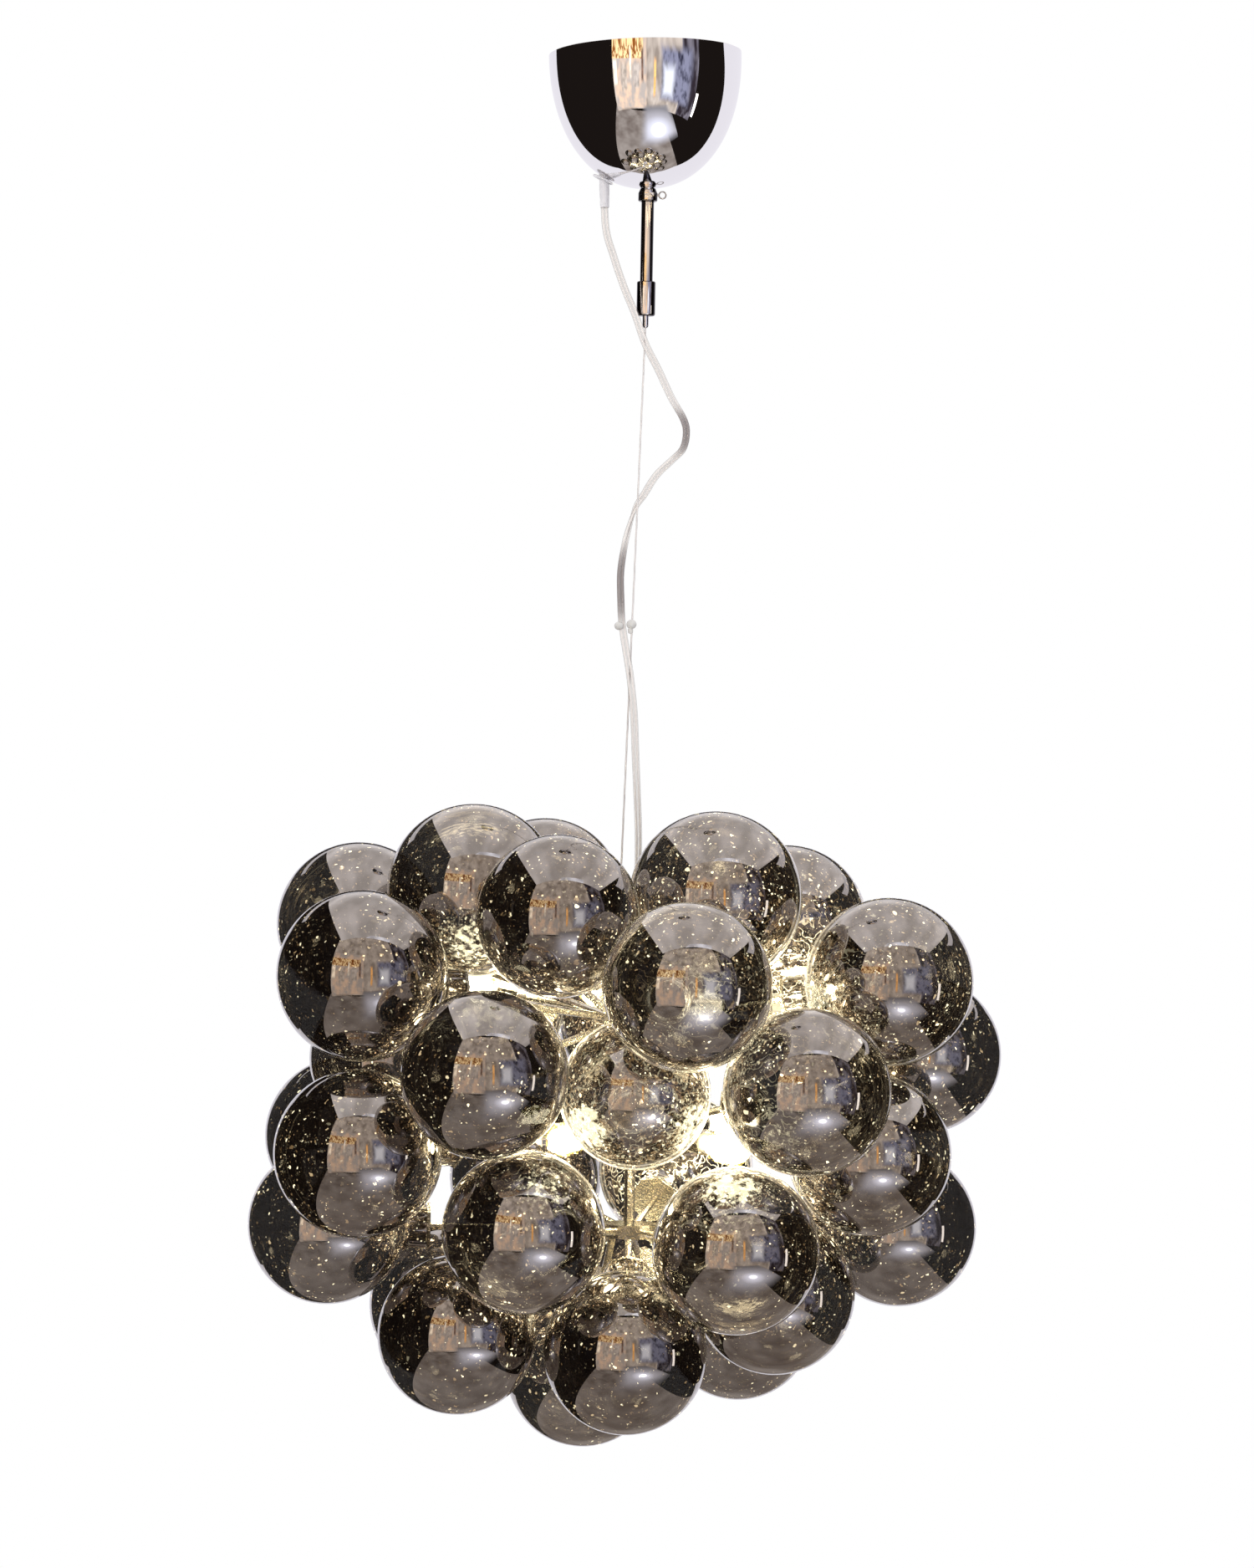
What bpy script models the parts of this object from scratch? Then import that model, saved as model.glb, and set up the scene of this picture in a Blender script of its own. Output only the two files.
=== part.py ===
"""Pendant light: a cluster of mouth-blown smoke glass globes hung on a steel wire.

Metres, +Z up. The origin is the centre of the ceiling plate's top face, where it
meets the ceiling. The camera side of the lamp is -Y.
"""

import math

import bmesh
import bpy
from mathutils import Matrix, Vector

# Ceiling plate and hook
PLATE_RADIUS = 0.030
PLATE_THICKNESS = 0.004
PLATE_SOCKET_DEPTH = 0.0022
PLATE_SCREW_HOLE_RADIUS = 0.0022
PLATE_SCREW_REACH = 0.021
HOOK_WIRE_RADIUS = 0.0022
HOOK_BEND_RADIUS = 0.0075
HOOK_SHANK_LENGTH = 0.0045

# Ceiling cup with its collar, thumbscrew and cord gland
CUP_RADIUS = 0.064
CUP_HEIGHT = 0.089
CUP_WALL = 0.0012
CUP_CEILING_GAP = 0.0038
CUP_ROUNDNESS = 2.15
COLLAR_RADIUS = 0.0064
COLLAR_HEIGHT = 0.0085
SCREW_SHANK_RADIUS = 0.0011
SCREW_HEAD_RADIUS = 0.0029
SCREW_HEAD_THICKNESS = 0.0018
SCREW_NECK_LENGTH = 0.0012
GLAND_REACH = 0.029
GLAND_FLANGE_RADIUS = 0.0062
GLAND_FLANGE_THICKNESS = 0.0015
GLAND_SLEEVE_RADIUS = 0.0042
GLAND_SLEEVE_BELOW = 0.0050
GLAND_SLEEVE_ABOVE = 0.0060
GLAND_SLOPE_STEP = 0.001

# Suspension tube with the wire gripper at its foot
EYE_RING_RADIUS = 0.0065
EYE_WIRE_RADIUS = 0.0018
TUBE_RADIUS = 0.0042
TUBE_BORE_RADIUS = 0.0022
TUBE_BOTTOM_DROP = 0.155
BARREL_RADIUS = 0.0062
BARREL_LENGTH = 0.0228
BARREL_TUBE_SEAT = 0.008
NIPPLE_RADIUS = 0.0021
NIPPLE_LENGTH = 0.0078
NIPPLE_SHOULDER_RADIUS = 0.0036
NIPPLE_SHOULDER_LENGTH = 0.003

# Terminal block inside the cup
BLOCK_WIDTH = 0.030
BLOCK_DEPTH = 0.016
BLOCK_HEIGHT = 0.013
BLOCK_DROP = 0.045

# Suspension wire and its ferrule
WIRE_RADIUS = 0.0006
WIRE_HOLE_CLEARANCE = 0.0008
WIRE_FOOT_OFFSET = 0.011
WIRE_TOP_RISE = 0.045
FERRULE_RADIUS = 0.0028
FERRULE_LENGTH = 0.009

# Supply cord and the clip that holds it to the wire
CORD_RADIUS = 0.0023
CORD_CLEARANCE = 0.0005
CLIP_DROP = 0.3835
CLIP_HEIGHT = 0.0065
CLIP_WALL = 0.0012

# Glass globes
GLOBE_DIAMETER = 0.107
GLOBE_WALL = 0.0018
GLOBE_GAP = 0.0006
NECK_RADIUS = 0.0145
NECK_REACH_SHARE = 1.24
NECK_SHOULDER_SHARE = 1.04
FORWARD_SHARE = 0.019

# Inner frame: head, stem and three spiders of arms
CLUSTER_DROP = 0.715
HEAD_RADIUS = 0.017
HEAD_THICKNESS = 0.009
HEAD_RISE = 0.116
STEM_RADIUS = 0.0036
STEM_BORE_RADIUS = 0.0026
HUB_RADIUS = 0.019
HUB_THICKNESS = 0.009
HUB_SPACING = 0.070
HUB_SOCKET_DEPTH = 0.005
ARM_RADIUS = 0.0025
CAP_FLANGE_MARGIN = 0.0015
CAP_FLANGE_THICKNESS = 0.002
CAP_PLUG_LENGTH = 0.006

# Capsule lamps and their ceramic holders
HOLDER_RADIUS = 0.0085
HOLDER_LENGTH = 0.016
LAMP_BASE_RADIUS = 0.0065
LAMP_BASE_LENGTH = 0.007
LAMP_RADIUS_SHARE = 0.0561
LAMP_LENGTH_SHARE = 0.2804
LAMP_GLASS_RADIUS = LAMP_RADIUS_SHARE * GLOBE_DIAMETER
LAMP_GLASS_LENGTH = LAMP_LENGTH_SHARE * GLOBE_DIAMETER

# Gap between neighbours that touch, and how far a cutter overruns its cut
SEAT_GAP = 0.0003
OVERRUN = 0.002

# Facets round each kind of turned piece
GLOBE_SIDES = 12
CUP_SIDES = 28
ROUND_SIDES = 16
SMALL_SIDES = 10
ARM_SIDES = 8

# A drill is turned a little, so that its corners miss the edges that it cuts
DRILL_TURN = math.radians(7.0)
UP = (0, 0, 1)

# The cord's own route from the terminal block to the lamp, metres
CORD_ROUTE = [
    (-0.029, 0.0, -0.0583), (-0.029, 0.0, -0.075), (-0.029, 0.0, -0.093),
    (-0.0275, -0.001, -0.120), (-0.022, -0.004, -0.139), (-0.015, -0.008, -0.159),
    (-0.007, -0.010, -0.178), (0.0, -0.010, -0.197), (0.009, -0.008, -0.214),
    (0.018, -0.004, -0.232), (0.026, 0.0, -0.245), (0.0285, 0.002, -0.254),
    (0.0265, 0.004, -0.265), (0.019, 0.006, -0.273), (0.009, 0.007, -0.283),
    (0.001, 0.007, -0.296), (-0.0045, 0.006, -0.305), (-0.009, 0.004, -0.320),
    (-0.0115, 0.002, -0.332), (-0.0135, 0.0, -0.349), (-0.013, -0.001, -0.367),
    (-0.012, -0.001, -0.382), (-0.0095, -0.002, -0.397), (-0.006, -0.004, -0.417),
    (-0.003, -0.005, -0.442), (-0.0015, -0.005, -0.468), (0.0, -0.004, -0.493),
    (0.0015, -0.002, -0.523), (0.0015, 0.0, -0.548), (0.0005, 0.0, -0.572),
    (0.0, 0.0, -0.590), (0.0, 0.0, -0.606),
]

# Each globe: across, depth and height from the cluster's middle in globe
# diameters, then its own size, because mouth-blown glass varies.
GLOBE_SHARES = {
    "globe_top_1": (-1.70, 0.53, 1.20, 1.04),
    "globe_top_2": (-1.02, -0.12, 1.42, 1.07),
    "globe_top_3": (-0.46, -1.00, 1.31, 0.98),
    "globe_top_4": (-0.57, 0.82, 1.38, 1.00),
    "globe_top_5": (0.49, -0.42, 1.42, 1.06),
    "globe_top_6": (0.96, 0.51, 1.23, 1.02),
    "globe_upper_1": (-1.62, -0.90, 0.93, 1.03),
    "globe_upper_2": (-0.86, -1.56, 0.40, 0.99),
    "globe_upper_3": (0.31, -1.58, 0.93, 1.00),
    "globe_upper_4": (1.55, -0.44, 0.93, 1.03),
    "globe_upper_5": (1.82, 0.42, 0.44, 0.99),
    "globe_upper_6": (0.01, 1.78, 0.53, 1.00),
    "globe_upper_7": (-0.94, 1.49, 0.66, 1.00),
    "globe_upper_8": (1.38, 1.46, 0.54, 1.00),
    "globe_middle_1": (-1.82, 0.76, -0.16, 1.00),
    "globe_middle_2": (-1.49, -0.04, 0.39, 1.00),
    "globe_middle_3": (-1.62, -1.00, -0.12, 1.01),
    "globe_middle_4": (0.02, -0.96, 0.26, 0.91),
    "globe_middle_5": (1.03, -1.26, 0.31, 1.00),
    "globe_middle_6": (1.45, -0.44, -0.12, 1.00),
    "globe_lower_1": (-1.85, -0.16, -0.63, 0.98),
    "globe_lower_2": (-0.62, -1.30, -0.54, 0.97),
    "globe_lower_3": (0.63, -1.16, -0.64, 1.00),
    "globe_lower_4": (1.68, 0.38, -0.64, 0.99),
    "globe_lower_5": (-0.68, 1.63, -0.48, 1.00),
    "globe_lower_6": (0.30, 1.26, -0.38, 1.00),
    "globe_bottom_1": (-1.03, -0.48, -1.25, 0.97),
    "globe_bottom_2": (-1.13, 0.60, -1.20, 1.00),
    "globe_bottom_3": (-0.01, -0.78, -1.30, 0.99),
    "globe_bottom_4": (0.89, -0.26, -0.99, 1.00),
    "globe_bottom_5": (-0.27, 0.18, -1.53, 0.97),
    "globe_bottom_6": (0.70, 0.68, -1.29, 0.98),
    "globe_bottom_7": (0.14, 1.77, -1.23, 1.00),
}

# Each lamp: the spider that carries it, then across, depth and rise of the
# middle of its glass from that spider's hub, in globe diameters.
LAMP_SHARES = {
    "lamp_1": ("upper_spider", -1.00, 0.60, 0.15),
    "lamp_2": ("upper_spider", 0.44, -0.81, 0.14),
    "lamp_3": ("upper_spider", 1.06, 0.05, 0.15),
    "lamp_4": ("upper_spider", -0.25, 0.71, 0.15),
    "lamp_5": ("middle_spider", -0.40, -0.65, -0.05),
    "lamp_6": ("middle_spider", 0.60, -0.65, -0.09),
    "lamp_7": ("middle_spider", 0.56, 0.75, -0.05),
    "lamp_8": ("middle_spider", -0.60, 0.71, -0.05),
}

SPIDER_LEVELS = {"upper_spider": 1, "middle_spider": 0, "lower_spider": -1}
SPIDER_OF_ROW = {
    "top": "upper_spider",
    "upper": "upper_spider",
    "middle": "middle_spider",
    "lower": "lower_spider",
    "bottom": "lower_spider",
}

# Heights that follow from the sizes above
HOOK_BEND_HEIGHT = -(PLATE_THICKNESS + HOOK_SHANK_LENGTH + HOOK_BEND_RADIUS)
HOOK_BOTTOM = HOOK_BEND_HEIGHT - HOOK_BEND_RADIUS
EYE_TOP = HOOK_BOTTOM + HOOK_WIRE_RADIUS + EYE_WIRE_RADIUS + SEAT_GAP
EYE_CENTRE = EYE_TOP - EYE_RING_RADIUS
TUBE_TOP = EYE_CENTRE - EYE_RING_RADIUS
CUP_RIM = -CUP_CEILING_GAP
CUP_BOTTOM = CUP_RIM - CUP_HEIGHT
COLLAR_TOP = CUP_BOTTOM - SEAT_GAP
BARREL_BOTTOM = -TUBE_BOTTOM_DROP - BARREL_LENGTH
NIPPLE_BOTTOM = BARREL_BOTTOM - NIPPLE_LENGTH
CLUSTER_HEIGHT = -CLUSTER_DROP
HEAD_TOP = CLUSTER_HEIGHT + HEAD_RISE
HEAD_BOTTOM = HEAD_TOP - HEAD_THICKNESS
NECK_BORE_RADIUS = NECK_RADIUS - GLOBE_WALL


def clear_scene():
    for old in list(bpy.data.objects):
        bpy.data.objects.remove(old, do_unlink=True)


def make_material(name, colour, roughness, metallic, alpha=1.0):
    material = bpy.data.materials.new(name)
    material.use_nodes = True
    shader = material.node_tree.nodes["Principled BSDF"]
    shader.inputs["Base Color"].default_value = (*colour, 1.0)
    shader.inputs["Roughness"].default_value = roughness
    shader.inputs["Metallic"].default_value = metallic
    shader.inputs["Alpha"].default_value = alpha
    material.diffuse_color = (*colour, alpha)
    return material


def add_object(name, mesh, material):
    for polygon in mesh.polygons:
        polygon.use_smooth = True
    mesh.set_sharp_from_angle(angle=math.radians(35.0))
    mesh.materials.append(material)
    piece = bpy.data.objects.new(name, mesh)
    bpy.context.scene.collection.objects.link(piece)
    return piece


def mesh_of(name, work):
    bmesh.ops.recalc_face_normals(work, faces=work.faces)
    mesh = bpy.data.meshes.new(name)
    work.to_mesh(mesh)
    work.free()
    return mesh


def turned_mesh(name, profile, sides):
    """Turn (radius, height) points round Z. A radius of zero is a pole; a
    profile with no pole is closed on itself, which leaves a bore."""
    work = bmesh.new()
    rings = []
    for radius, height in profile:
        if radius == 0:
            rings.append([work.verts.new((0, 0, height))])
            continue
        ring = []
        for side in range(sides):
            angle = math.tau * side / sides
            ring.append(work.verts.new((radius * math.cos(angle), radius * math.sin(angle), height)))
        rings.append(ring)
    pairs = list(zip(rings, rings[1:]))
    if len(rings[0]) > 1:
        pairs.append((rings[-1], rings[0]))
    for low, high in pairs:
        for side in range(sides):
            corners = [low[side % len(low)], low[(side + 1) % len(low)]]
            corners += [high[(side + 1) % len(high)], high[side % len(high)]]
            work.faces.new(list(dict.fromkeys(corners)))
    return mesh_of(name, work)


def turned(name, profile, sides, material):
    return add_object(name, turned_mesh(name, profile, sides), material)


def box_mesh(name, low, high):
    work = bmesh.new()
    bmesh.ops.create_cube(work, size=1.0)
    for vertex in work.verts:
        for axis in range(3):
            vertex.co[axis] = high[axis] if vertex.co[axis] > 0 else low[axis]
    return mesh_of(name, work)


def hide_tool(tool):
    tool.hide_render = True
    tool.display_type = "WIRE"
    return tool


def combine(piece, tool, operation):
    """Cut or weld the tool into the piece for good, then take the tool away."""
    hide_tool(tool)
    change = piece.modifiers.new("change", "BOOLEAN")
    change.operation = operation
    change.solver = "EXACT"
    change.object = tool
    bpy.context.view_layer.update()
    graph = bpy.context.evaluated_depsgraph_get()
    result = bpy.data.meshes.new_from_object(piece.evaluated_get(graph))
    piece.modifiers.clear()
    piece.data = result
    bpy.data.objects.remove(tool, do_unlink=True)


def cut(piece, tool):
    combine(piece, tool, "DIFFERENCE")


def weld(piece, tool):
    combine(piece, tool, "UNION")


def aim(piece, place, direction):
    """Stand a piece made along +Z at a place, with its axis along a direction."""
    turn = Vector((0, 0, 1)).rotation_difference(Vector(direction)).to_matrix().to_4x4()
    piece.matrix_world = Matrix.Translation(Vector(place)) @ turn


def drill(piece, place, direction, radius, start, end):
    """Drill a round hole from start to end along a direction from a place."""
    profile = [(0, end), (radius, end), (radius, start), (0, start)]
    bit = turned("drill", profile, SMALL_SIDES, piece.data.materials[0])
    aim(bit, place, direction)
    bit.matrix_world = bit.matrix_world @ Matrix.Rotation(DRILL_TURN, 4, "Z")
    cut(piece, bit)


def tube_along(name, points, radius, material, bevel_resolution=2):
    curve = bpy.data.curves.new(name, "CURVE")
    curve.dimensions = "3D"
    curve.bevel_depth = radius
    curve.bevel_resolution = bevel_resolution
    curve.resolution_u = 1
    curve.render_resolution_u = 0
    curve.use_fill_caps = True
    spline = curve.splines.new("POLY")
    spline.points.add(len(points) - 1)
    for knot, place in zip(spline.points, points):
        knot.co = (*place, 1.0)
    curve.materials.append(material)
    piece = bpy.data.objects.new(name, curve)
    bpy.context.scene.collection.objects.link(piece)
    return piece


def smooth_route(route, step):
    """Points a step apart on a smooth curve through the route's own points."""
    knots = [Vector(place) for place in route]
    knots = [2 * knots[0] - knots[1]] + knots + [2 * knots[-1] - knots[-2]]
    fine_steps = 24
    fine = []
    for before, start, end, after in zip(knots, knots[1:], knots[2:], knots[3:]):
        for part in range(fine_steps):
            t = part / fine_steps
            bend = 2 * before - 5 * start + 4 * end - after
            twist = 3 * start - before - 3 * end + after
            fine.append(start + t * (end - before) / 2 + t * t * bend / 2 + t ** 3 * twist / 2)
    fine.append(knots[-2])
    length = sum((b - a).length for a, b in zip(fine, fine[1:]))
    count = max(2, round(length / step))
    points = [fine[0]]
    walked = 0.0
    for a, b in zip(fine, fine[1:]):
        span = (b - a).length
        while len(points) < count and walked + span >= length * len(points) / count:
            points.append(a.lerp(b, (length * len(points) / count - walked) / span))
        walked += span
    points.append(fine[-1])
    return points


def cup_radius_at(height, radius, depth):
    """Outer radius of the rounded bowl at a height below its rim."""
    share = min(1.0, max(0.0, (CUP_RIM - height) / depth))
    return radius * (1.0 - share ** CUP_ROUNDNESS) ** (1.0 / CUP_ROUNDNESS)


def cup_height_at(reach, radius, depth):
    share = 1.0 - (reach / radius) ** CUP_ROUNDNESS
    return CUP_RIM - depth * share ** (1.0 / CUP_ROUNDNESS)


def ceiling_plate(steel):
    bottom = -PLATE_THICKNESS
    socket = HOOK_WIRE_RADIUS + SEAT_GAP
    socket_top = bottom + PLATE_SOCKET_DEPTH
    profile = [(0, 0), (PLATE_RADIUS, 0), (PLATE_RADIUS, bottom), (socket, bottom)]
    profile += [(socket, socket_top), (0, socket_top)]
    plate = turned("ceiling_plate", profile, CUP_SIDES, steel)
    for side in (-1, 1):
        place = (side * PLATE_SCREW_REACH, 0, 0)
        drill(plate, place, UP, PLATE_SCREW_HOLE_RADIUS, bottom - OVERRUN, OVERRUN)


def ceiling_hook(steel):
    """A bent wire hook, open at one side, its shank set in the plate."""
    shank_top = -PLATE_THICKNESS + PLATE_SOCKET_DEPTH - SEAT_GAP
    bend_top = HOOK_BEND_HEIGHT + HOOK_BEND_RADIUS
    points = [(0, 0, shank_top), (0, 0, bend_top)]
    bend_steps = 12
    sweep = math.radians(285.0)
    for step in range(1, bend_steps + 1):
        angle = sweep * step / bend_steps
        across = HOOK_BEND_RADIUS * math.sin(angle)
        height = HOOK_BEND_HEIGHT + HOOK_BEND_RADIUS * math.cos(angle)
        points.append((across, 0, height))
    tube_along("ceiling_hook", points, HOOK_WIRE_RADIUS, steel)


def suspension_tube(chrome):
    """Chrome tube with its hanging eye brazed on top, hung on the hook."""
    bottom = -TUBE_BOTTOM_DROP - BARREL_TUBE_SEAT
    top_wall = TUBE_TOP - EYE_WIRE_RADIUS - TUBE_RADIUS
    profile = [(0, TUBE_TOP), (TUBE_RADIUS, TUBE_TOP), (TUBE_RADIUS, bottom)]
    profile += [(TUBE_BORE_RADIUS, bottom), (TUBE_BORE_RADIUS, top_wall), (0, top_wall)]
    tube = turned("suspension_tube", profile, ROUND_SIDES, chrome)
    work = bmesh.new()
    ring_steps = 16
    rings = []
    for step in range(ring_steps):
        turn = math.tau * step / ring_steps
        ring = []
        for side in range(ARM_SIDES):
            angle = math.tau * side / ARM_SIDES
            reach = EYE_RING_RADIUS + EYE_WIRE_RADIUS * math.cos(angle)
            across = EYE_WIRE_RADIUS * math.sin(angle)
            place = (across, reach * math.sin(turn), EYE_CENTRE + reach * math.cos(turn))
            ring.append(work.verts.new(place))
        rings.append(ring)
    for low, high in zip(rings, rings[1:] + rings[:1]):
        for side in range(ARM_SIDES):
            after = (side + 1) % ARM_SIDES
            work.faces.new([low[side], low[after], high[after], high[side]])
    weld(tube, add_object("eye", mesh_of("eye", work), chrome))


def terminal_block(ceramic):
    """White terminal block on a saddle round the tube, inside the cup."""
    top = -BLOCK_DROP
    bottom = top - BLOCK_HEIGHT
    saddle = TUBE_RADIUS + 2 * CLIP_WALL
    low = (-BLOCK_WIDTH - TUBE_RADIUS, -BLOCK_DEPTH / 2, bottom)
    high = (saddle, BLOCK_DEPTH / 2, top)
    block = add_object("terminal_block", box_mesh("terminal_block", low, high), ceramic)
    drill(block, (0, 0, 0), UP, TUBE_RADIUS + 2 * SEAT_GAP, bottom - OVERRUN, top + OVERRUN)


def ceiling_cup(chrome):
    bands = 7
    shares = [math.sin(math.pi / 2 * band / bands) for band in range(bands)]
    bore = TUBE_RADIUS + 2 * SEAT_GAP
    outer = []
    inner = []
    inner_depth = CUP_HEIGHT - CUP_WALL
    for share in shares:
        height = CUP_RIM - CUP_HEIGHT * share
        outer.append((cup_radius_at(height, CUP_RADIUS, CUP_HEIGHT), height))
        height = CUP_RIM - inner_depth * share
        inner.append((cup_radius_at(height, CUP_RADIUS - CUP_WALL, inner_depth), height))
    profile = outer + [(bore, CUP_BOTTOM), (bore, CUP_BOTTOM + CUP_WALL)] + inner[::-1]
    cup = turned("ceiling_cup", profile, CUP_SIDES, chrome)
    top = CUP_BOTTOM + CUP_HEIGHT / 2
    bottom = CUP_BOTTOM - OVERRUN
    drill(cup, (-GLAND_REACH, 0, 0), UP, GLAND_SLEEVE_RADIUS + 2 * SEAT_GAP, bottom, top)


def cup_collar(chrome):
    """Short turned collar under the cup, drilled at +X for the thumbscrew."""
    bore = TUBE_RADIUS + SEAT_GAP
    bottom = COLLAR_TOP - COLLAR_HEIGHT
    profile = [(bore, COLLAR_TOP), (COLLAR_RADIUS, COLLAR_TOP), (COLLAR_RADIUS, bottom), (bore, bottom)]
    collar = turned("cup_collar", profile, ROUND_SIDES, chrome)
    middle = (0, 0, COLLAR_TOP - COLLAR_HEIGHT / 2)
    drill(collar, middle, (1, 0, 0), SCREW_SHANK_RADIUS + SEAT_GAP, 0, COLLAR_RADIUS + OVERRUN)


def collar_thumbscrew(chrome):
    """Small round thumbscrew that clamps the collar to the tube."""
    start = TUBE_RADIUS + SEAT_GAP
    neck = COLLAR_RADIUS + SCREW_NECK_LENGTH
    profile = [(0, start), (SCREW_SHANK_RADIUS, start), (SCREW_SHANK_RADIUS, neck), (0, neck)]
    screw = turned("collar_thumbscrew", profile, SMALL_SIDES, chrome)
    aim(screw, (0, 0, COLLAR_TOP - COLLAR_HEIGHT / 2), (1, 0, 0))
    half = SCREW_HEAD_THICKNESS / 2
    disc = [(0, -half), (SCREW_HEAD_RADIUS, -half), (SCREW_HEAD_RADIUS, half), (0, half)]
    head = turned("head", disc, ROUND_SIDES, chrome)
    reach = neck + SCREW_HEAD_RADIUS - SCREW_HEAD_THICKNESS / 2
    aim(head, (reach, 0, COLLAR_TOP - COLLAR_HEIGHT / 2), (0, 1, 0))
    weld(screw, head)


def cord_gland(clear):
    """Clear gland: a flange lying on the bowl and an upright sleeve."""
    middle = cup_height_at(GLAND_REACH, CUP_RADIUS, CUP_HEIGHT)
    beside = cup_height_at(GLAND_REACH - GLAND_SLOPE_STEP, CUP_RADIUS, CUP_HEIGHT)
    slope = (middle - beside) / GLAND_SLOPE_STEP
    outward = Vector((-slope, 0, -1)).normalized()
    sleeve_top = middle + GLAND_SLEEVE_ABOVE
    sleeve_bottom = middle - GLAND_SLEEVE_BELOW - GLAND_FLANGE_THICKNESS
    sleeve = [(0, sleeve_top), (GLAND_SLEEVE_RADIUS, sleeve_top)]
    sleeve += [(GLAND_SLEEVE_RADIUS, sleeve_bottom), (0, sleeve_bottom)]
    gland = turned("cord_gland", sleeve, SMALL_SIDES, clear)
    gland.location.x = -GLAND_REACH
    bed = 2 * SEAT_GAP
    far = bed + GLAND_FLANGE_THICKNESS
    disc = [(0, bed), (GLAND_FLANGE_RADIUS, bed), (GLAND_FLANGE_RADIUS, far), (0, far)]
    flange = turned("flange", disc, ROUND_SIDES, clear)
    aim(flange, (-GLAND_REACH, 0, middle), outward)
    weld(gland, flange)
    bore = CORD_RADIUS + CORD_CLEARANCE
    drill(gland, (-GLAND_REACH, 0, 0), UP, bore, sleeve_bottom - OVERRUN, sleeve_top + OVERRUN)


def gripper_barrel(chrome):
    """Barrel on the tube's foot, with a chamber for the release nipple."""
    top = -TUBE_BOTTOM_DROP
    seat = TUBE_RADIUS + SEAT_GAP
    seat_bottom = top - BARREL_TUBE_SEAT - SEAT_GAP
    chamber = NIPPLE_SHOULDER_RADIUS + SEAT_GAP
    mouth = NIPPLE_RADIUS + SEAT_GAP
    lip = BARREL_BOTTOM + CLIP_WALL
    profile = [(seat, top), (BARREL_RADIUS, top), (BARREL_RADIUS, BARREL_BOTTOM), (mouth, BARREL_BOTTOM)]
    profile += [(mouth, lip), (chamber, lip), (chamber, seat_bottom), (seat, seat_bottom)]
    turned("gripper_barrel", profile, ROUND_SIDES, chrome)


def gripper_nipple(chrome):
    """Sprung nipple: pressed up, it lets the wire run through the gripper."""
    bore = WIRE_RADIUS + SEAT_GAP
    shoulder_bottom = BARREL_BOTTOM + CLIP_WALL + SEAT_GAP
    shoulder_top = shoulder_bottom + NIPPLE_SHOULDER_LENGTH
    profile = [(bore, shoulder_top), (NIPPLE_SHOULDER_RADIUS, shoulder_top)]
    profile += [(NIPPLE_SHOULDER_RADIUS, shoulder_bottom), (NIPPLE_RADIUS, shoulder_bottom)]
    profile += [(NIPPLE_RADIUS, NIPPLE_BOTTOM), (bore, NIPPLE_BOTTOM)]
    turned("gripper_nipple", profile, SMALL_SIDES, chrome)


def wire_across(height):
    """How far the wire has leaned from the tube's axis at a height."""
    if height > NIPPLE_BOTTOM:
        return 0.0
    share = (NIPPLE_BOTTOM - height) / (NIPPLE_BOTTOM - HEAD_TOP)
    return -WIRE_FOOT_OFFSET * min(1.0, share)


def suspension_wire(steel):
    foot = HEAD_BOTTOM - SEAT_GAP - FERRULE_LENGTH / 2
    heights = [BARREL_BOTTOM + WIRE_TOP_RISE, NIPPLE_BOTTOM, HEAD_TOP, foot]
    points = [(wire_across(height), 0, height) for height in heights]
    tube_along("suspension_wire", points, WIRE_RADIUS, steel, bevel_resolution=1)


def wire_ferrule(steel):
    """Crimped ferrule on the wire's end: the lamp's head rests on it."""
    bore = WIRE_RADIUS + SEAT_GAP
    top = HEAD_BOTTOM - SEAT_GAP
    bottom = top - FERRULE_LENGTH
    profile = [(bore, top), (FERRULE_RADIUS, top), (FERRULE_RADIUS, bottom), (bore, bottom)]
    ferrule = turned("wire_ferrule", profile, SMALL_SIDES, steel)
    ferrule.location.x = -WIRE_FOOT_OFFSET


def supply_cord(clear):
    points = smooth_route(CORD_ROUTE, 5 * CORD_RADIUS)
    tube_along("supply_cord", points, CORD_RADIUS, clear)
    return points


def cord_clip(clear, cord_points):
    """Clear clip with a bore for the wire and a bore for the cord."""
    height = -CLIP_DROP
    index = min(range(len(cord_points)), key=lambda knot: abs(cord_points[knot].z - height))
    cord_place = cord_points[index]
    cord_way = cord_points[index - 1] - cord_points[index + 1]
    wire_place = Vector((wire_across(cord_place.z), 0, cord_place.z))
    wire_way = (WIRE_FOOT_OFFSET, 0, NIPPLE_BOTTOM - HEAD_TOP)
    half = CLIP_HEIGHT / 2
    lobe = CORD_RADIUS + CORD_CLEARANCE + CLIP_WALL
    disc = [(0, half), (lobe, half), (lobe, -half), (0, -half)]
    clip = turned("cord_clip", disc, ROUND_SIDES, clear)
    clip.location = cord_place
    other = turned("lobe", disc, ROUND_SIDES, clear)
    other.location = wire_place
    weld(clip, other)
    overrun = half + OVERRUN
    drill(clip, cord_place, cord_way, CORD_RADIUS + CORD_CLEARANCE, -overrun, overrun)
    drill(clip, wire_place, wire_way, WIRE_RADIUS + CORD_CLEARANCE, -overrun, overrun)


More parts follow.
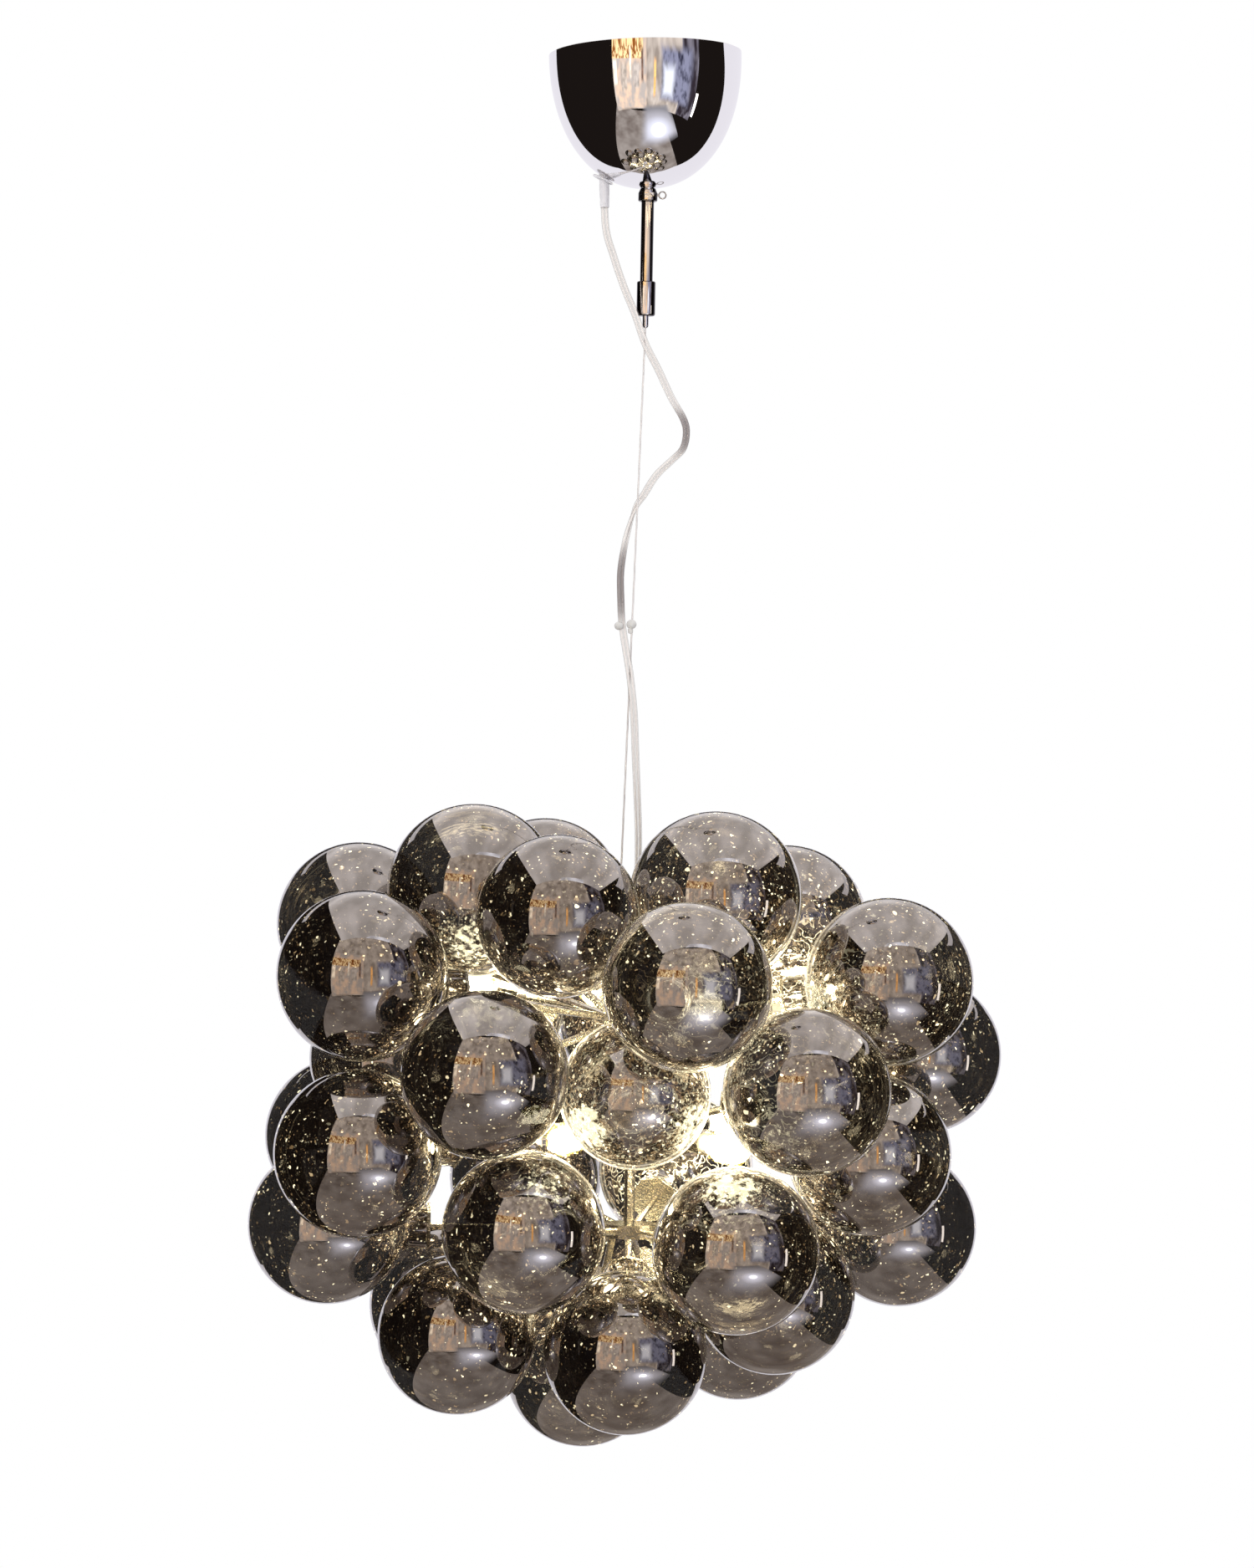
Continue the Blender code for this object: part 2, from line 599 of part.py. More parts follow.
def cluster_head(chrome):
    """Cap on the stem's top: the cord enters it and the wire holds it."""
    cord_bore = CORD_RADIUS + CORD_CLEARANCE
    stem_bore = STEM_RADIUS + SEAT_GAP
    seat = HEAD_BOTTOM + HUB_SOCKET_DEPTH
    profile = [(cord_bore, HEAD_TOP), (HEAD_RADIUS, HEAD_TOP), (HEAD_RADIUS, HEAD_BOTTOM)]
    profile += [(stem_bore, HEAD_BOTTOM), (stem_bore, seat), (cord_bore, seat)]
    head = turned("cluster_head", profile, ROUND_SIDES, chrome)
    bore = WIRE_RADIUS + WIRE_HOLE_CLEARANCE
    drill(head, (-WIRE_FOOT_OFFSET, 0, 0), UP, bore, HEAD_BOTTOM - OVERRUN, HEAD_TOP + OVERRUN)


def hub_height(spider):
    return CLUSTER_HEIGHT + SPIDER_LEVELS[spider] * HUB_SPACING


def centre_stem(chrome):
    top = HEAD_BOTTOM + HUB_SOCKET_DEPTH - SEAT_GAP
    bottom = hub_height("lower_spider") + HUB_THICKNESS / 2 - HUB_SOCKET_DEPTH + SEAT_GAP
    profile = [(STEM_BORE_RADIUS, top), (STEM_RADIUS, top), (STEM_RADIUS, bottom), (STEM_BORE_RADIUS, bottom)]
    turned("centre_stem", profile, ROUND_SIDES, chrome)


def settle(places, radii):
    """Ease overlapping globes apart until each pair keeps the gap."""
    names = list(places)
    rounds = 60
    for _ in range(rounds):
        for index, first in enumerate(names):
            for second in names[index + 1:]:
                apart = places[second] - places[first]
                short = radii[first] + radii[second] + GLOBE_GAP - apart.length
                if short > 0:
                    push = apart.normalized() * short / 2
                    places[first] = places[first] - push
                    places[second] = places[second] + push
    return places


def globe_layout():
    """Centres and radii of the globes, in metres."""
    pitch = GLOBE_DIAMETER + GLOBE_GAP
    places = {}
    radii = {}
    for name, (across, depth, height, size) in GLOBE_SHARES.items():
        shares = Vector((across, depth - FORWARD_SHARE, height))
        places[name] = shares * pitch + Vector((0, 0, CLUSTER_HEIGHT))
        radii[name] = GLOBE_DIAMETER / 2 * size
    return settle(places, radii), radii


def arm_root(spider, target):
    """Where an arm leaves its hub: inside the rim, on the target's side."""
    height = hub_height(spider)
    bearing = Vector((target.x, target.y, 0)).normalized()
    reach = (HUB_RADIUS + STEM_RADIUS) / 2
    return bearing * reach + Vector((0, 0, height))


def globe_profile(radius):
    """Outline of a globe with its neck up: outside, lip, then inside."""
    angles = [0, 31, 62, 93, 124]
    shoulder = radius * NECK_SHOULDER_SHARE
    lip = radius * NECK_REACH_SHARE
    outer = []
    inner = []
    for angle in angles:
        across = math.sin(math.radians(angle))
        along = -math.cos(math.radians(angle))
        outer.append((radius * across, radius * along))
        inner.append(((radius - GLOBE_WALL) * across, (radius - GLOBE_WALL) * along))
    outer += [(NECK_RADIUS, shoulder), (NECK_RADIUS, lip)]
    inner += [(NECK_BORE_RADIUS, shoulder), (NECK_BORE_RADIUS, lip)]
    return outer + inner[::-1]


def globe(name, place, radius, root, glass):
    piece = turned(name, globe_profile(radius), GLOBE_SIDES, glass)
    aim(piece, place, root - place)


def neck_arm(root, place, radius, steel):
    """Arm from the hub to a globe's neck, with a flange and a plug."""
    length = (place - root).length
    face = length - radius * NECK_REACH_SHARE - SEAT_GAP
    back = face - CAP_FLANGE_THICKNESS
    flange = NECK_RADIUS + CAP_FLANGE_MARGIN
    plug = NECK_BORE_RADIUS * math.cos(math.pi / GLOBE_SIDES) - SEAT_GAP
    profile = [(0, 0), (ARM_RADIUS, 0), (ARM_RADIUS, back), (flange, back), (flange, face)]
    profile += [(plug, face), (plug, face + CAP_PLUG_LENGTH), (0, face + CAP_PLUG_LENGTH)]
    arm = turned("arm", profile, ARM_SIDES, steel)
    aim(arm, root, place - root)
    return arm


def lamp_place(name):
    spider, across, depth, rise = LAMP_SHARES[name]
    centre = Vector((across, depth, rise)) * GLOBE_DIAMETER
    return spider, centre + Vector((0, 0, hub_height(spider)))


def lamp_arm(root, centre, steel):
    """Arm from the hub to a lamp, ending in the lamp's holder."""
    face = (centre - root).length - LAMP_GLASS_LENGTH / 2 - LAMP_BASE_LENGTH - SEAT_GAP
    back = face - HOLDER_LENGTH
    profile = [(0, 0), (ARM_RADIUS, 0), (ARM_RADIUS, back), (HOLDER_RADIUS, back)]
    profile += [(HOLDER_RADIUS, face), (0, face)]
    arm = turned("arm", profile, ARM_SIDES, steel)
    aim(arm, root, centre - root)
    return arm


def capsule_lamp(name, lit_glass):
    spider, centre = lamp_place(name)
    root = arm_root(spider, centre)
    half = LAMP_GLASS_LENGTH / 2
    dome = LAMP_GLASS_RADIUS * math.cos(math.radians(45.0))
    shoulder = half - LAMP_GLASS_RADIUS
    base = -half - LAMP_BASE_LENGTH
    profile = [(0, base), (LAMP_BASE_RADIUS, base), (LAMP_BASE_RADIUS, -half), (LAMP_GLASS_RADIUS, -half)]
    profile += [(LAMP_GLASS_RADIUS, shoulder), (dome, shoulder + dome), (0, half)]
    lamp = turned(name, profile, SMALL_SIDES, lit_glass)
    aim(lamp, centre, centre - root)


def spider(name, targets, steel):
    """A hub on the stem with every arm of its level welded on."""
    top = hub_height(name) + HUB_THICKNESS / 2
    bottom = top - HUB_THICKNESS
    bore = STEM_RADIUS + SEAT_GAP
    if name == "lower_spider":
        floor = top - HUB_SOCKET_DEPTH
        profile = [(0, floor), (bore, floor), (bore, top), (HUB_RADIUS, top), (HUB_RADIUS, bottom), (0, bottom)]
    else:
        profile = [(bore, top), (HUB_RADIUS, top), (HUB_RADIUS, bottom), (bore, bottom)]
    hub = turned(name, profile, ROUND_SIDES, steel)
    for place, radius in targets:
        weld(hub, neck_arm(arm_root(name, place), place, radius, steel))
    for lamp in LAMP_SHARES:
        carrier, centre = lamp_place(lamp)
        if carrier == name:
            weld(hub, lamp_arm(arm_root(name, centre), centre, steel))


def build():
    clear_scene()
    chrome = make_material("polished_chrome", (0.86, 0.86, 0.88), 0.06, 1.0)
    steel = make_material("steel", (0.62, 0.61, 0.60), 0.30, 1.0)
    clear = make_material("clear_plastic", (0.86, 0.84, 0.80), 0.18, 0.0, 0.55)
    ceramic = make_material("white_ceramic", (0.88, 0.87, 0.84), 0.35, 0.0)
    smoke = make_material("smoke_glass", (0.17, 0.14, 0.12), 0.04, 0.75, 0.75)
    lit_glass = make_material("lamp_glass", (1.0, 0.93, 0.72), 0.15, 0.0)
    ceiling_plate(steel)
    ceiling_hook(steel)
    suspension_tube(chrome)
    terminal_block(ceramic)
    ceiling_cup(chrome)
    cup_collar(chrome)
    collar_thumbscrew(chrome)
    cord_gland(clear)
    gripper_barrel(chrome)
    gripper_nipple(chrome)
    suspension_wire(steel)
    wire_ferrule(steel)
    cord_points = supply_cord(clear)
    cord_clip(clear, cord_points)
    cluster_head(chrome)
    centre_stem(chrome)
    places, radii = globe_layout()
    targets = {name: [] for name in SPIDER_LEVELS}
    for name, place in places.items():
        carrier = SPIDER_OF_ROW[name.split("_")[1]]
        targets[carrier].append((place, radii[name]))
        globe(name, place, radii[name], arm_root(carrier, place), smoke)
    for name in SPIDER_LEVELS:
        spider(name, targets[name], steel)
    for name in LAMP_SHARES:
        capsule_lamp(name, lit_glass)


build()
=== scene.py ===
import math

import bmesh
import bpy
import mathutils.noise
import numpy as np
from mathutils import Matrix, Vector


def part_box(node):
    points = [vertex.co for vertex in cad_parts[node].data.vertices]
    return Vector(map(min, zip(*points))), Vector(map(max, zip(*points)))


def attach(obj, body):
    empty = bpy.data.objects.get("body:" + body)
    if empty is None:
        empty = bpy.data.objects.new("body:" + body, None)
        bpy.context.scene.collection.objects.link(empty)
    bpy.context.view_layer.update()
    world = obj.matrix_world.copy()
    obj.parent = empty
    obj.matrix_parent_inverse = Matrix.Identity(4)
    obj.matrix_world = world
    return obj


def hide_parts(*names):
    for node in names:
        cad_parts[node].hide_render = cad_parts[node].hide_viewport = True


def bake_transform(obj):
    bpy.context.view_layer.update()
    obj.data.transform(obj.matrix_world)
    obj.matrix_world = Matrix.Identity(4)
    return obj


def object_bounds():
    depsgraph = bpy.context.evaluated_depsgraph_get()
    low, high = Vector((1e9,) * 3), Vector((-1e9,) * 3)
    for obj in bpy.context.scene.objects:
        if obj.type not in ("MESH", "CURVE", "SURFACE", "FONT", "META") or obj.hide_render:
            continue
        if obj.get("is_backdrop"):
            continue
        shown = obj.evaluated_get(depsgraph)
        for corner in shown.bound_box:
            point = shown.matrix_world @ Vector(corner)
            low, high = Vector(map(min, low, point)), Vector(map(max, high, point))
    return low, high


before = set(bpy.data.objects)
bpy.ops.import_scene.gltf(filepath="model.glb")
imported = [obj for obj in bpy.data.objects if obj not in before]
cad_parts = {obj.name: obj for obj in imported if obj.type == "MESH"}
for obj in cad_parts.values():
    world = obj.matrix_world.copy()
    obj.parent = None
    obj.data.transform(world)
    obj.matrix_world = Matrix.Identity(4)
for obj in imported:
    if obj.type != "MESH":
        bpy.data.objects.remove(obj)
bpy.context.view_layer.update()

# Camera: level with the middle of the wire, 2.85 m in front of the lamp. The
# picture was taken with the camera turned by about one degree.
SENSOR_WIDTH = 36.0
PICTURE_PIXELS = 1500
FOCAL_PIXELS = 5130
CAMERA_PLACE = (-0.0067, -2.85, -0.4888)
CAMERA_ROLL = math.radians(1.05)
camera_data = bpy.data.cameras.new("camera")
camera_data.sensor_fit = "HORIZONTAL"
camera_data.sensor_width = SENSOR_WIDTH
camera_data.lens = SENSOR_WIDTH * FOCAL_PIXELS / PICTURE_PIXELS
camera_data.clip_end = 50.0
camera = bpy.data.objects.new("camera", camera_data)
bpy.context.scene.collection.objects.link(camera)
level = Matrix.Rotation(math.radians(90.0), 4, "X")
roll = Matrix.Rotation(CAMERA_ROLL, 4, "Z")
camera.matrix_world = Matrix.Translation(CAMERA_PLACE) @ level @ roll
bpy.context.scene.camera = camera
bpy.context.scene.view_settings.view_transform = "Standard"

# Supply cord: clear flat twin cord, two tinned cores side by side in one soft
# jacket. It runs from the terminal block through the gland, winds once round
# the wire in loose bends and goes down into the head.
CORE_RADIUS = 0.0007
CORE_PLACE = 0.0012
JACKET_ROUND = 0.0013
CORD_ROUTE = [
    (-0.029, 0.0, -0.0583), (-0.029, 0.0, -0.075), (-0.029, 0.0, -0.093),
    (-0.0275, -0.001, -0.120), (-0.022, -0.004, -0.139), (-0.015, -0.008, -0.159),
    (-0.007, -0.010, -0.178), (0.0, -0.010, -0.197), (0.009, -0.008, -0.214),
    (0.018, -0.004, -0.232), (0.026, 0.0, -0.245), (0.0285, 0.002, -0.254),
    (0.0265, 0.004, -0.265), (0.019, 0.006, -0.273), (0.009, 0.007, -0.283),
    (0.001, 0.007, -0.296), (-0.0045, 0.006, -0.305), (-0.009, 0.004, -0.320),
    (-0.0115, 0.002, -0.332), (-0.0135, 0.0, -0.349), (-0.013, -0.001, -0.367),
    (-0.012, -0.001, -0.382), (-0.0095, -0.002, -0.397), (-0.006, -0.004, -0.417),
    (-0.003, -0.005, -0.442), (-0.0015, -0.005, -0.468), (0.0, -0.004, -0.493),
    (0.0015, -0.002, -0.523), (0.0015, 0.0, -0.548), (0.0005, 0.0, -0.572),
    (0.0, 0.0, -0.590), (0.0, 0.0, -0.606),
]


def smooth_route(route, step):
    """Evenly spaced points on a smooth curve through the route's own points."""
    knots = [Vector(place) for place in route]
    knots = [2 * knots[0] - knots[1]] + knots + [2 * knots[-1] - knots[-2]]
    fine = []
    for before, start, end, after in zip(knots, knots[1:], knots[2:], knots[3:]):
        for part in range(24):
            t = part / 24
            bend = 2 * before - 5 * start + 4 * end - after
            twist = 3 * start - before - 3 * end + after
            fine.append(start + t * (end - before) / 2 + t * t * bend / 2 + t ** 3 * twist / 2)
    fine.append(knots[-2])
    walked = np.concatenate([[0], np.cumsum([(b - a).length for a, b in zip(fine, fine[1:])])])
    places = np.linspace(0, walked[-1], max(2, round(walked[-1] / step)) + 1)
    columns = [np.interp(places, walked, [point[axis] for point in fine]) for axis in range(3)]
    return [Vector(point) for point in zip(*columns)]


def link_mesh(name, work, smooth=True):
    """Turn a bmesh into a linked object, shaded smooth with its corners kept."""
    bmesh.ops.recalc_face_normals(work, faces=work.faces)
    mesh = bpy.data.meshes.new(name)
    work.to_mesh(mesh)
    work.free()
    piece = bpy.data.objects.new(name, mesh)
    bpy.context.scene.collection.objects.link(piece)
    if smooth:
        for polygon in mesh.polygons:
            polygon.use_smooth = True
        mesh.set_sharp_from_angle(angle=math.radians(38.0))
    return piece


def join_rings(work, rings, sides):
    """Faces between each ring of corners and the next; a ring of one is a pole."""
    for low, high in zip(rings, rings[1:]):
        for side in range(sides):
            corners = [low[side % len(low)], low[(side + 1) % len(low)]]
            corners += [high[(side + 1) % len(high)], high[side % len(high)]]
            corners = list(dict.fromkeys(corners))
            if len(corners) > 2:
                work.faces.new(corners)


def sweep(name, points, outline, turn_at):
    """Carry an outline (across, thick) along points, turned a little at each."""
    work = bmesh.new()
    rings = []
    side = Vector((1, 0, 0))
    for index, point in enumerate(points):
        after = points[min(index + 1, len(points) - 1)]
        way = (after - points[max(index - 1, 0)]).normalized()
        side = (side - way * side.dot(way)).normalized()
        turned_side = Matrix.Rotation(turn_at(index / (len(points) - 1)), 3, way) @ side
        thick = way.cross(turned_side)
        rings.append([work.verts.new(point + turned_side * a + thick * b) for a, b in outline])
    join_rings(work, rings, len(outline))
    work.faces.new(rings[0][::-1])
    work.faces.new(rings[-1])
    return link_mesh(name, work)


CROSSING_SHARE = 0.47
TWIST_PACE = 60
WAVER = 18.0
WAVER_PACE = 11.0


def cord_turn(share):
    """The flat side faces the room, but for a half twist where it crosses the wire."""
    twist = 1 / (1 + math.exp(-(share - CROSSING_SHARE) * TWIST_PACE))
    return math.radians(WAVER * math.sin(WAVER_PACE * share) + 180.0 * twist)


def new_material(name):
    material = bpy.data.materials.new(name)
    material.use_nodes = True
    return material, material.node_tree.nodes, material.node_tree.links


def set_sockets(node, **values):
    """Set a node's sockets by name, spaces written as underscores."""
    for name, value in values.items():
        node.inputs[name.replace("_", " ")].default_value = value
    return node


def shader_of(nodes, **values):
    return set_sockets(nodes["Principled BSDF"], **values)


def add_node(nodes, kind, **values):
    return set_sockets(nodes.new("ShaderNode" + kind), **values)


def maths(nodes, links, operation, *sources):
    """A Math node fed by numbers and sockets."""
    node = nodes.new("ShaderNodeMath")
    node.operation = operation
    for socket, source in zip(node.inputs, sources):
        if isinstance(source, (int, float)):
            socket.default_value = source
        else:
            links.new(source, socket)
    return node.outputs[0]


def object_noise(nodes, links, scale, detail=2.0):
    """Noise that stays put on the piece."""
    coordinates = nodes.new("ShaderNodeTexCoord")
    noise = add_node(nodes, "TexNoise", Scale=scale, Detail=detail)
    links.new(coordinates.outputs["Object"], noise.inputs["Vector"])
    return noise.outputs["Fac"]


def mesh_number(nodes, name):
    """A number that the mesh carries at each of its corners."""
    attribute = nodes.new("ShaderNodeAttribute")
    attribute.attribute_name = name
    return attribute.outputs["Fac"]


def tone_ramp(nodes, links, source, first, last, *between):
    """A colour ramp through stops of (position, red, green, blue)."""
    ramp = nodes.new("ShaderNodeValToRGB")
    stops = ramp.color_ramp.elements
    for stop, (position, *tone) in ((stops[0], first), (stops[1], last)):
        stop.position = position
        stop.color = (*tone, 1)
    for position, *tone in between:
        stops.new(position).color = (*tone, 1)
    links.new(source, ramp.inputs["Fac"])
    return ramp.outputs["Color"]


def colour_by(nodes, links, source, first, last):
    """Colour a Principled shader between two stops of (position, red, green, blue)."""
    tone = tone_ramp(nodes, links, source, first, last)
    links.new(tone, nodes["Principled BSDF"].inputs["Base Color"])


def surface_mix(nodes, links, share, below, above):
    """Let a share choose between two shaders, as the material's surface."""
    mix = nodes.new("ShaderNodeMixShader")
    for socket, source in zip(mix.inputs, (share, below.outputs[0], above.outputs[0])):
        links.new(source, socket)
    links.new(mix.outputs[0], nodes["Material Output"].inputs["Surface"])


def milky(name, through, body, edge, clear_share, cloud_scale=220.0, cloud_depth=0.18, steepness=1.0):
    """Soft clear plastic: see-through, milkier at its edges and where it was bent."""
    material, nodes, links = new_material(name)
    shader = shader_of(nodes, Base_Color=(*body, 1), Roughness=0.25, Coat_Weight=0.5, Coat_Roughness=0.1)
    cloudy = tuple((1 - cloud_depth) * part for part in body)
    tone = add_node(nodes, "MixRGB", Color1=(*body, 1), Color2=(*cloudy, 1))
    links.new(object_noise(nodes, links, cloud_scale), tone.inputs["Fac"])
    links.new(tone.outputs["Color"], shader.inputs["Base Color"])
    facing = add_node(nodes, "LayerWeight", Blend=0.5).outputs["Facing"]
    amount = add_node(nodes, "MapRange", To_Min=1 - clear_share, To_Max=edge)
    links.new(maths(nodes, links, "POWER", facing, steepness), amount.inputs["Value"])
    opaque = maths(nodes, links, "MAXIMUM", amount.outputs["Result"], mesh_number(nodes, "bent"))
    surface_mix(nodes, links, opaque, add_node(nodes, "BsdfTransparent", Color=(*through, 1)), shader)
    return material


CORD_STEP = 0.0022
cord_points = smooth_route(CORD_ROUTE, CORD_STEP)
JACKET_CORNERS = 28
jacket_outline = []
for corner in range(JACKET_CORNERS):
    angle = math.tau * corner / JACKET_CORNERS
    across, thick = math.cos(angle), math.sin(angle)
    reach = CORE_PLACE * abs(across) + math.sqrt(JACKET_ROUND ** 2 - (CORE_PLACE * thick) ** 2)
    jacket_outline.append((reach * across, reach * thick))
cord_jacket = sweep("cord_jacket", cord_points, jacket_outline, cord_turn)
CORE_CORNERS = 10
cord_cores = []
for name, middle in (("cord_core_left", -CORE_PLACE), ("cord_core_right", CORE_PLACE)):
    angles = [math.tau * corner / CORE_CORNERS for corner in range(CORE_CORNERS)]
    ring = [(middle + CORE_RADIUS * math.cos(angle), CORE_RADIUS * math.sin(angle)) for angle in angles]
    cord_cores.append(sweep(name, cord_points, ring, cord_turn))

# The jacket is milky at its two sharp bends, and pinched where it enters the head.
SHARP_BENDS = [(-0.254, 0.014), (-0.356, 0.024)]
BENT_BELOW = -0.2
BENT_MILKINESS = 0.66
HEAD_TOP = -0.584
PINCH_DEPTH = 0.18
PINCH_REACH = 0.010
bent = []
for vertex in cord_jacket.data.vertices:
    strain = max(math.exp(-((vertex.co.z - height) / reach) ** 4) for height, reach in SHARP_BENDS)
    bent.append(BENT_MILKINESS * strain * (vertex.co.z < BENT_BELOW))
    if vertex.co.z < HEAD_TOP:
        pinch = 1 - PINCH_DEPTH * min((HEAD_TOP - vertex.co.z) / PINCH_REACH, 1.0)
        vertex.co.x *= pinch
        vertex.co.y *= pinch
cord_jacket.data.attributes.new("bent", "FLOAT", "POINT").data.foreach_set("value", bent)
clear_jacket = milky("clear_soft_jacket", (0.97, 0.96, 0.95), (0.30, 0.26, 0.26), edge=0.98, clear_share=0.96,
                     cloud_scale=16.0, cloud_depth=0.22, steepness=2.2)
cord_jacket.data.materials.append(clear_jacket)

tinned_core, nodes, links = new_material("tinned_copper_core")
shader_of(nodes, Metallic=0.1, Roughness=0.5)
colour_by(nodes, links, object_noise(nodes, links, 30.0), (0.0, 0.84, 0.80, 0.78), (1.0, 0.96, 0.94, 0.93))
for core in cord_cores:
    core.data.materials.append(tinned_core)

for piece in [cord_jacket] + cord_cores:
    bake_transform(piece)
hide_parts("supply_cord")

# Studio: a white backdrop for the camera, a pale floor well below the lamp, and
# a dark room with lit panels that only polished surfaces reflect.
FLOOR_HEIGHT = -1.75
FLOOR_REACH = 9.0


def studio_world():
    """White where the camera looks past the lamp, dark where a mirror does."""
    world = bpy.data.worlds.new("studio")
    bpy.context.scene.world = world
    world.use_nodes = True
    nodes, links = world.node_tree.nodes, world.node_tree.links
    path = nodes.new("ShaderNodeLightPath")
    mirrored = nodes.new("ShaderNodeMath")
    mirrored.operation = "SUBTRACT"
    mirrored.use_clamp = True
    tone = nodes.new("ShaderNodeMix")
    tone.data_type = "RGBA"
    tone.inputs[6].default_value = (1.0, 1.0, 1.0, 1)
    tone.inputs[7].default_value = (0.011, 0.008, 0.007, 1)
    links.new(path.outputs["Is Glossy Ray"], mirrored.inputs[0])
    links.new(path.outputs["Is Transmission Ray"], mirrored.inputs[1])
    links.new(mirrored.outputs[0], tone.inputs[0])
    links.new(tone.outputs[2], nodes["Background"].inputs["Color"])


def smooth_step(nodes, links, value, low, high):
    """Rise smoothly from 0 to 1 while a value goes from low to high."""
    node = add_node(nodes, "MapRange", From_Min=low, From_Max=high)
    node.interpolation_type = "SMOOTHSTEP"
    links.new(value, node.inputs["Value"])
    return node.outputs["Result"]


def fade_edges(nodes, links, emission, axes, width):
    """Let a lit panel die away towards the borders of its own box."""
    split = nodes.new("ShaderNodeSeparateXYZ")
    links.new(nodes.new("ShaderNodeTexCoord").outputs["Generated"], split.inputs[0])
    borders = [maths(nodes, links, "PINGPONG", split.outputs[axis], 0.5) for axis in axes]
    shown = smooth_step(nodes, links, maths(nodes, links, "MINIMUM", *borders), 0.0, width)
    surface_mix(nodes, links, shown, nodes.new("ShaderNodeBsdfTransparent"), emission)


def glow_material(name, colour, colour_two=None, scale=3.0, stretch=(1, 1, 1), contrast=(0.35, 0.65),
                  soft=0.0):
    """A lit panel: even, or mottled between two colours, with faded edges if soft."""
    material, nodes, links = new_material(name)
    nodes.remove(nodes["Principled BSDF"])
    emission = add_node(nodes, "Emission", Color=(*colour, 1))
    if colour_two:
        coordinates = nodes.new("ShaderNodeTexCoord")
        mapping = add_node(nodes, "Mapping", Scale=stretch)
        noise = add_node(nodes, "TexNoise", Scale=scale, Detail=2.0)
        links.new(coordinates.outputs["Object"], mapping.inputs["Vector"])
        links.new(mapping.outputs["Vector"], noise.inputs["Vector"])
        mottles = [(contrast[0], *colour), (contrast[1], *colour_two)]
        tone = tone_ramp(nodes, links, noise.outputs["Fac"], *mottles)
        links.new(tone, emission.inputs["Color"])
    links.new(emission.outputs[0], nodes["Material Output"].inputs["Surface"])
    if soft:
        fade_edges(nodes, links, emission, ("X", "Z"), soft)
    return material


def reflected_only(panel):
    panel.visible_camera = False
    panel.visible_diffuse = False
    panel.visible_transmission = False
    panel.visible_volume_scatter = False
    panel.visible_shadow = False
    panel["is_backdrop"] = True


def flat_panel(name, height, corners, material):
    """Level panel through (x, y) corners."""
    work = bmesh.new()
    work.faces.new([work.verts.new((*corner, height)) for corner in corners])
    panel = link_mesh(name, work, smooth=False)
    panel.data.materials.append(material)
    reflected_only(panel)


PANEL_STEPS = 12


def curved_panel(name, radius, azimuths, heights, material):
    """Upright panel bent round the lamp, from one azimuth to another: 0 is the
    camera's side and 90 is +X."""
    work = bmesh.new()
    columns = []
    for step in range(PANEL_STEPS + 1):
        azimuth = math.radians(azimuths[0] + (azimuths[1] - azimuths[0]) * step / PANEL_STEPS)
        across, depth = radius * math.sin(azimuth), -radius * math.cos(azimuth)
        columns.append([work.verts.new((across, depth, height)) for height in heights])
    for left, right in zip(columns, columns[1:]):
        work.faces.new([left[0], right[0], right[1], left[1]])
    panel = link_mesh(name, work, smooth=False)
    panel.data.materials.append(material)
    reflected_only(panel)


studio_world()
floor_material, nodes, links = new_material("pale_floor")
shader_of(nodes, Base_Color=(0.86, 0.86, 0.86, 1), Roughness=0.8)
path = nodes.new("ShaderNodeLightPath")
white = add_node(nodes, "Emission", Color=(1, 1, 1, 1))
surface_mix(nodes, links, path.outputs["Is Camera Ray"], nodes["Principled BSDF"], white)
work = bmesh.new()
floor_corners = [(-FLOOR_REACH, -FLOOR_REACH), (FLOOR_REACH, -FLOOR_REACH)]
floor_corners += [(FLOOR_REACH, FLOOR_REACH), (-FLOOR_REACH, FLOOR_REACH)]
work.faces.new([work.verts.new((*corner, FLOOR_HEIGHT)) for corner in floor_corners])
floor = link_mesh("floor", work, smooth=False)
floor.data.materials.append(floor_material)
floor.visible_glossy = False
floor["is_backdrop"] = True

PANEL_FOOT = -1.66
CEILING_HEIGHT = 0.45
TABLE_HEIGHT = -1.30
flat_panel("ceiling_panel", CEILING_HEIGHT, [(-0.76, -0.95), (1.5, -0.72), (1.5, 2.1), (-0.80, 2.1)],
           glow_material("ceiling_panel", (0.80, 0.76, 0.75), (1.30, 1.26, 1.28), 2.6, (1, 0.35, 1)))
flat_panel("ceiling_streak", CEILING_HEIGHT - 0.02,
           [(-0.05, -0.88), (0.65, -0.80), (0.60, -0.66), (0.05, -0.76)],
           glow_material("ceiling_streak", (1.9, 2.0, 2.3), (0.95, 0.95, 1.05), 3.0))
curved_panel("backdrop_panel", 2.4, (147, 213), (PANEL_FOOT, -0.12),
             glow_material("backdrop_panel", (0.86, 0.84, 0.92)))

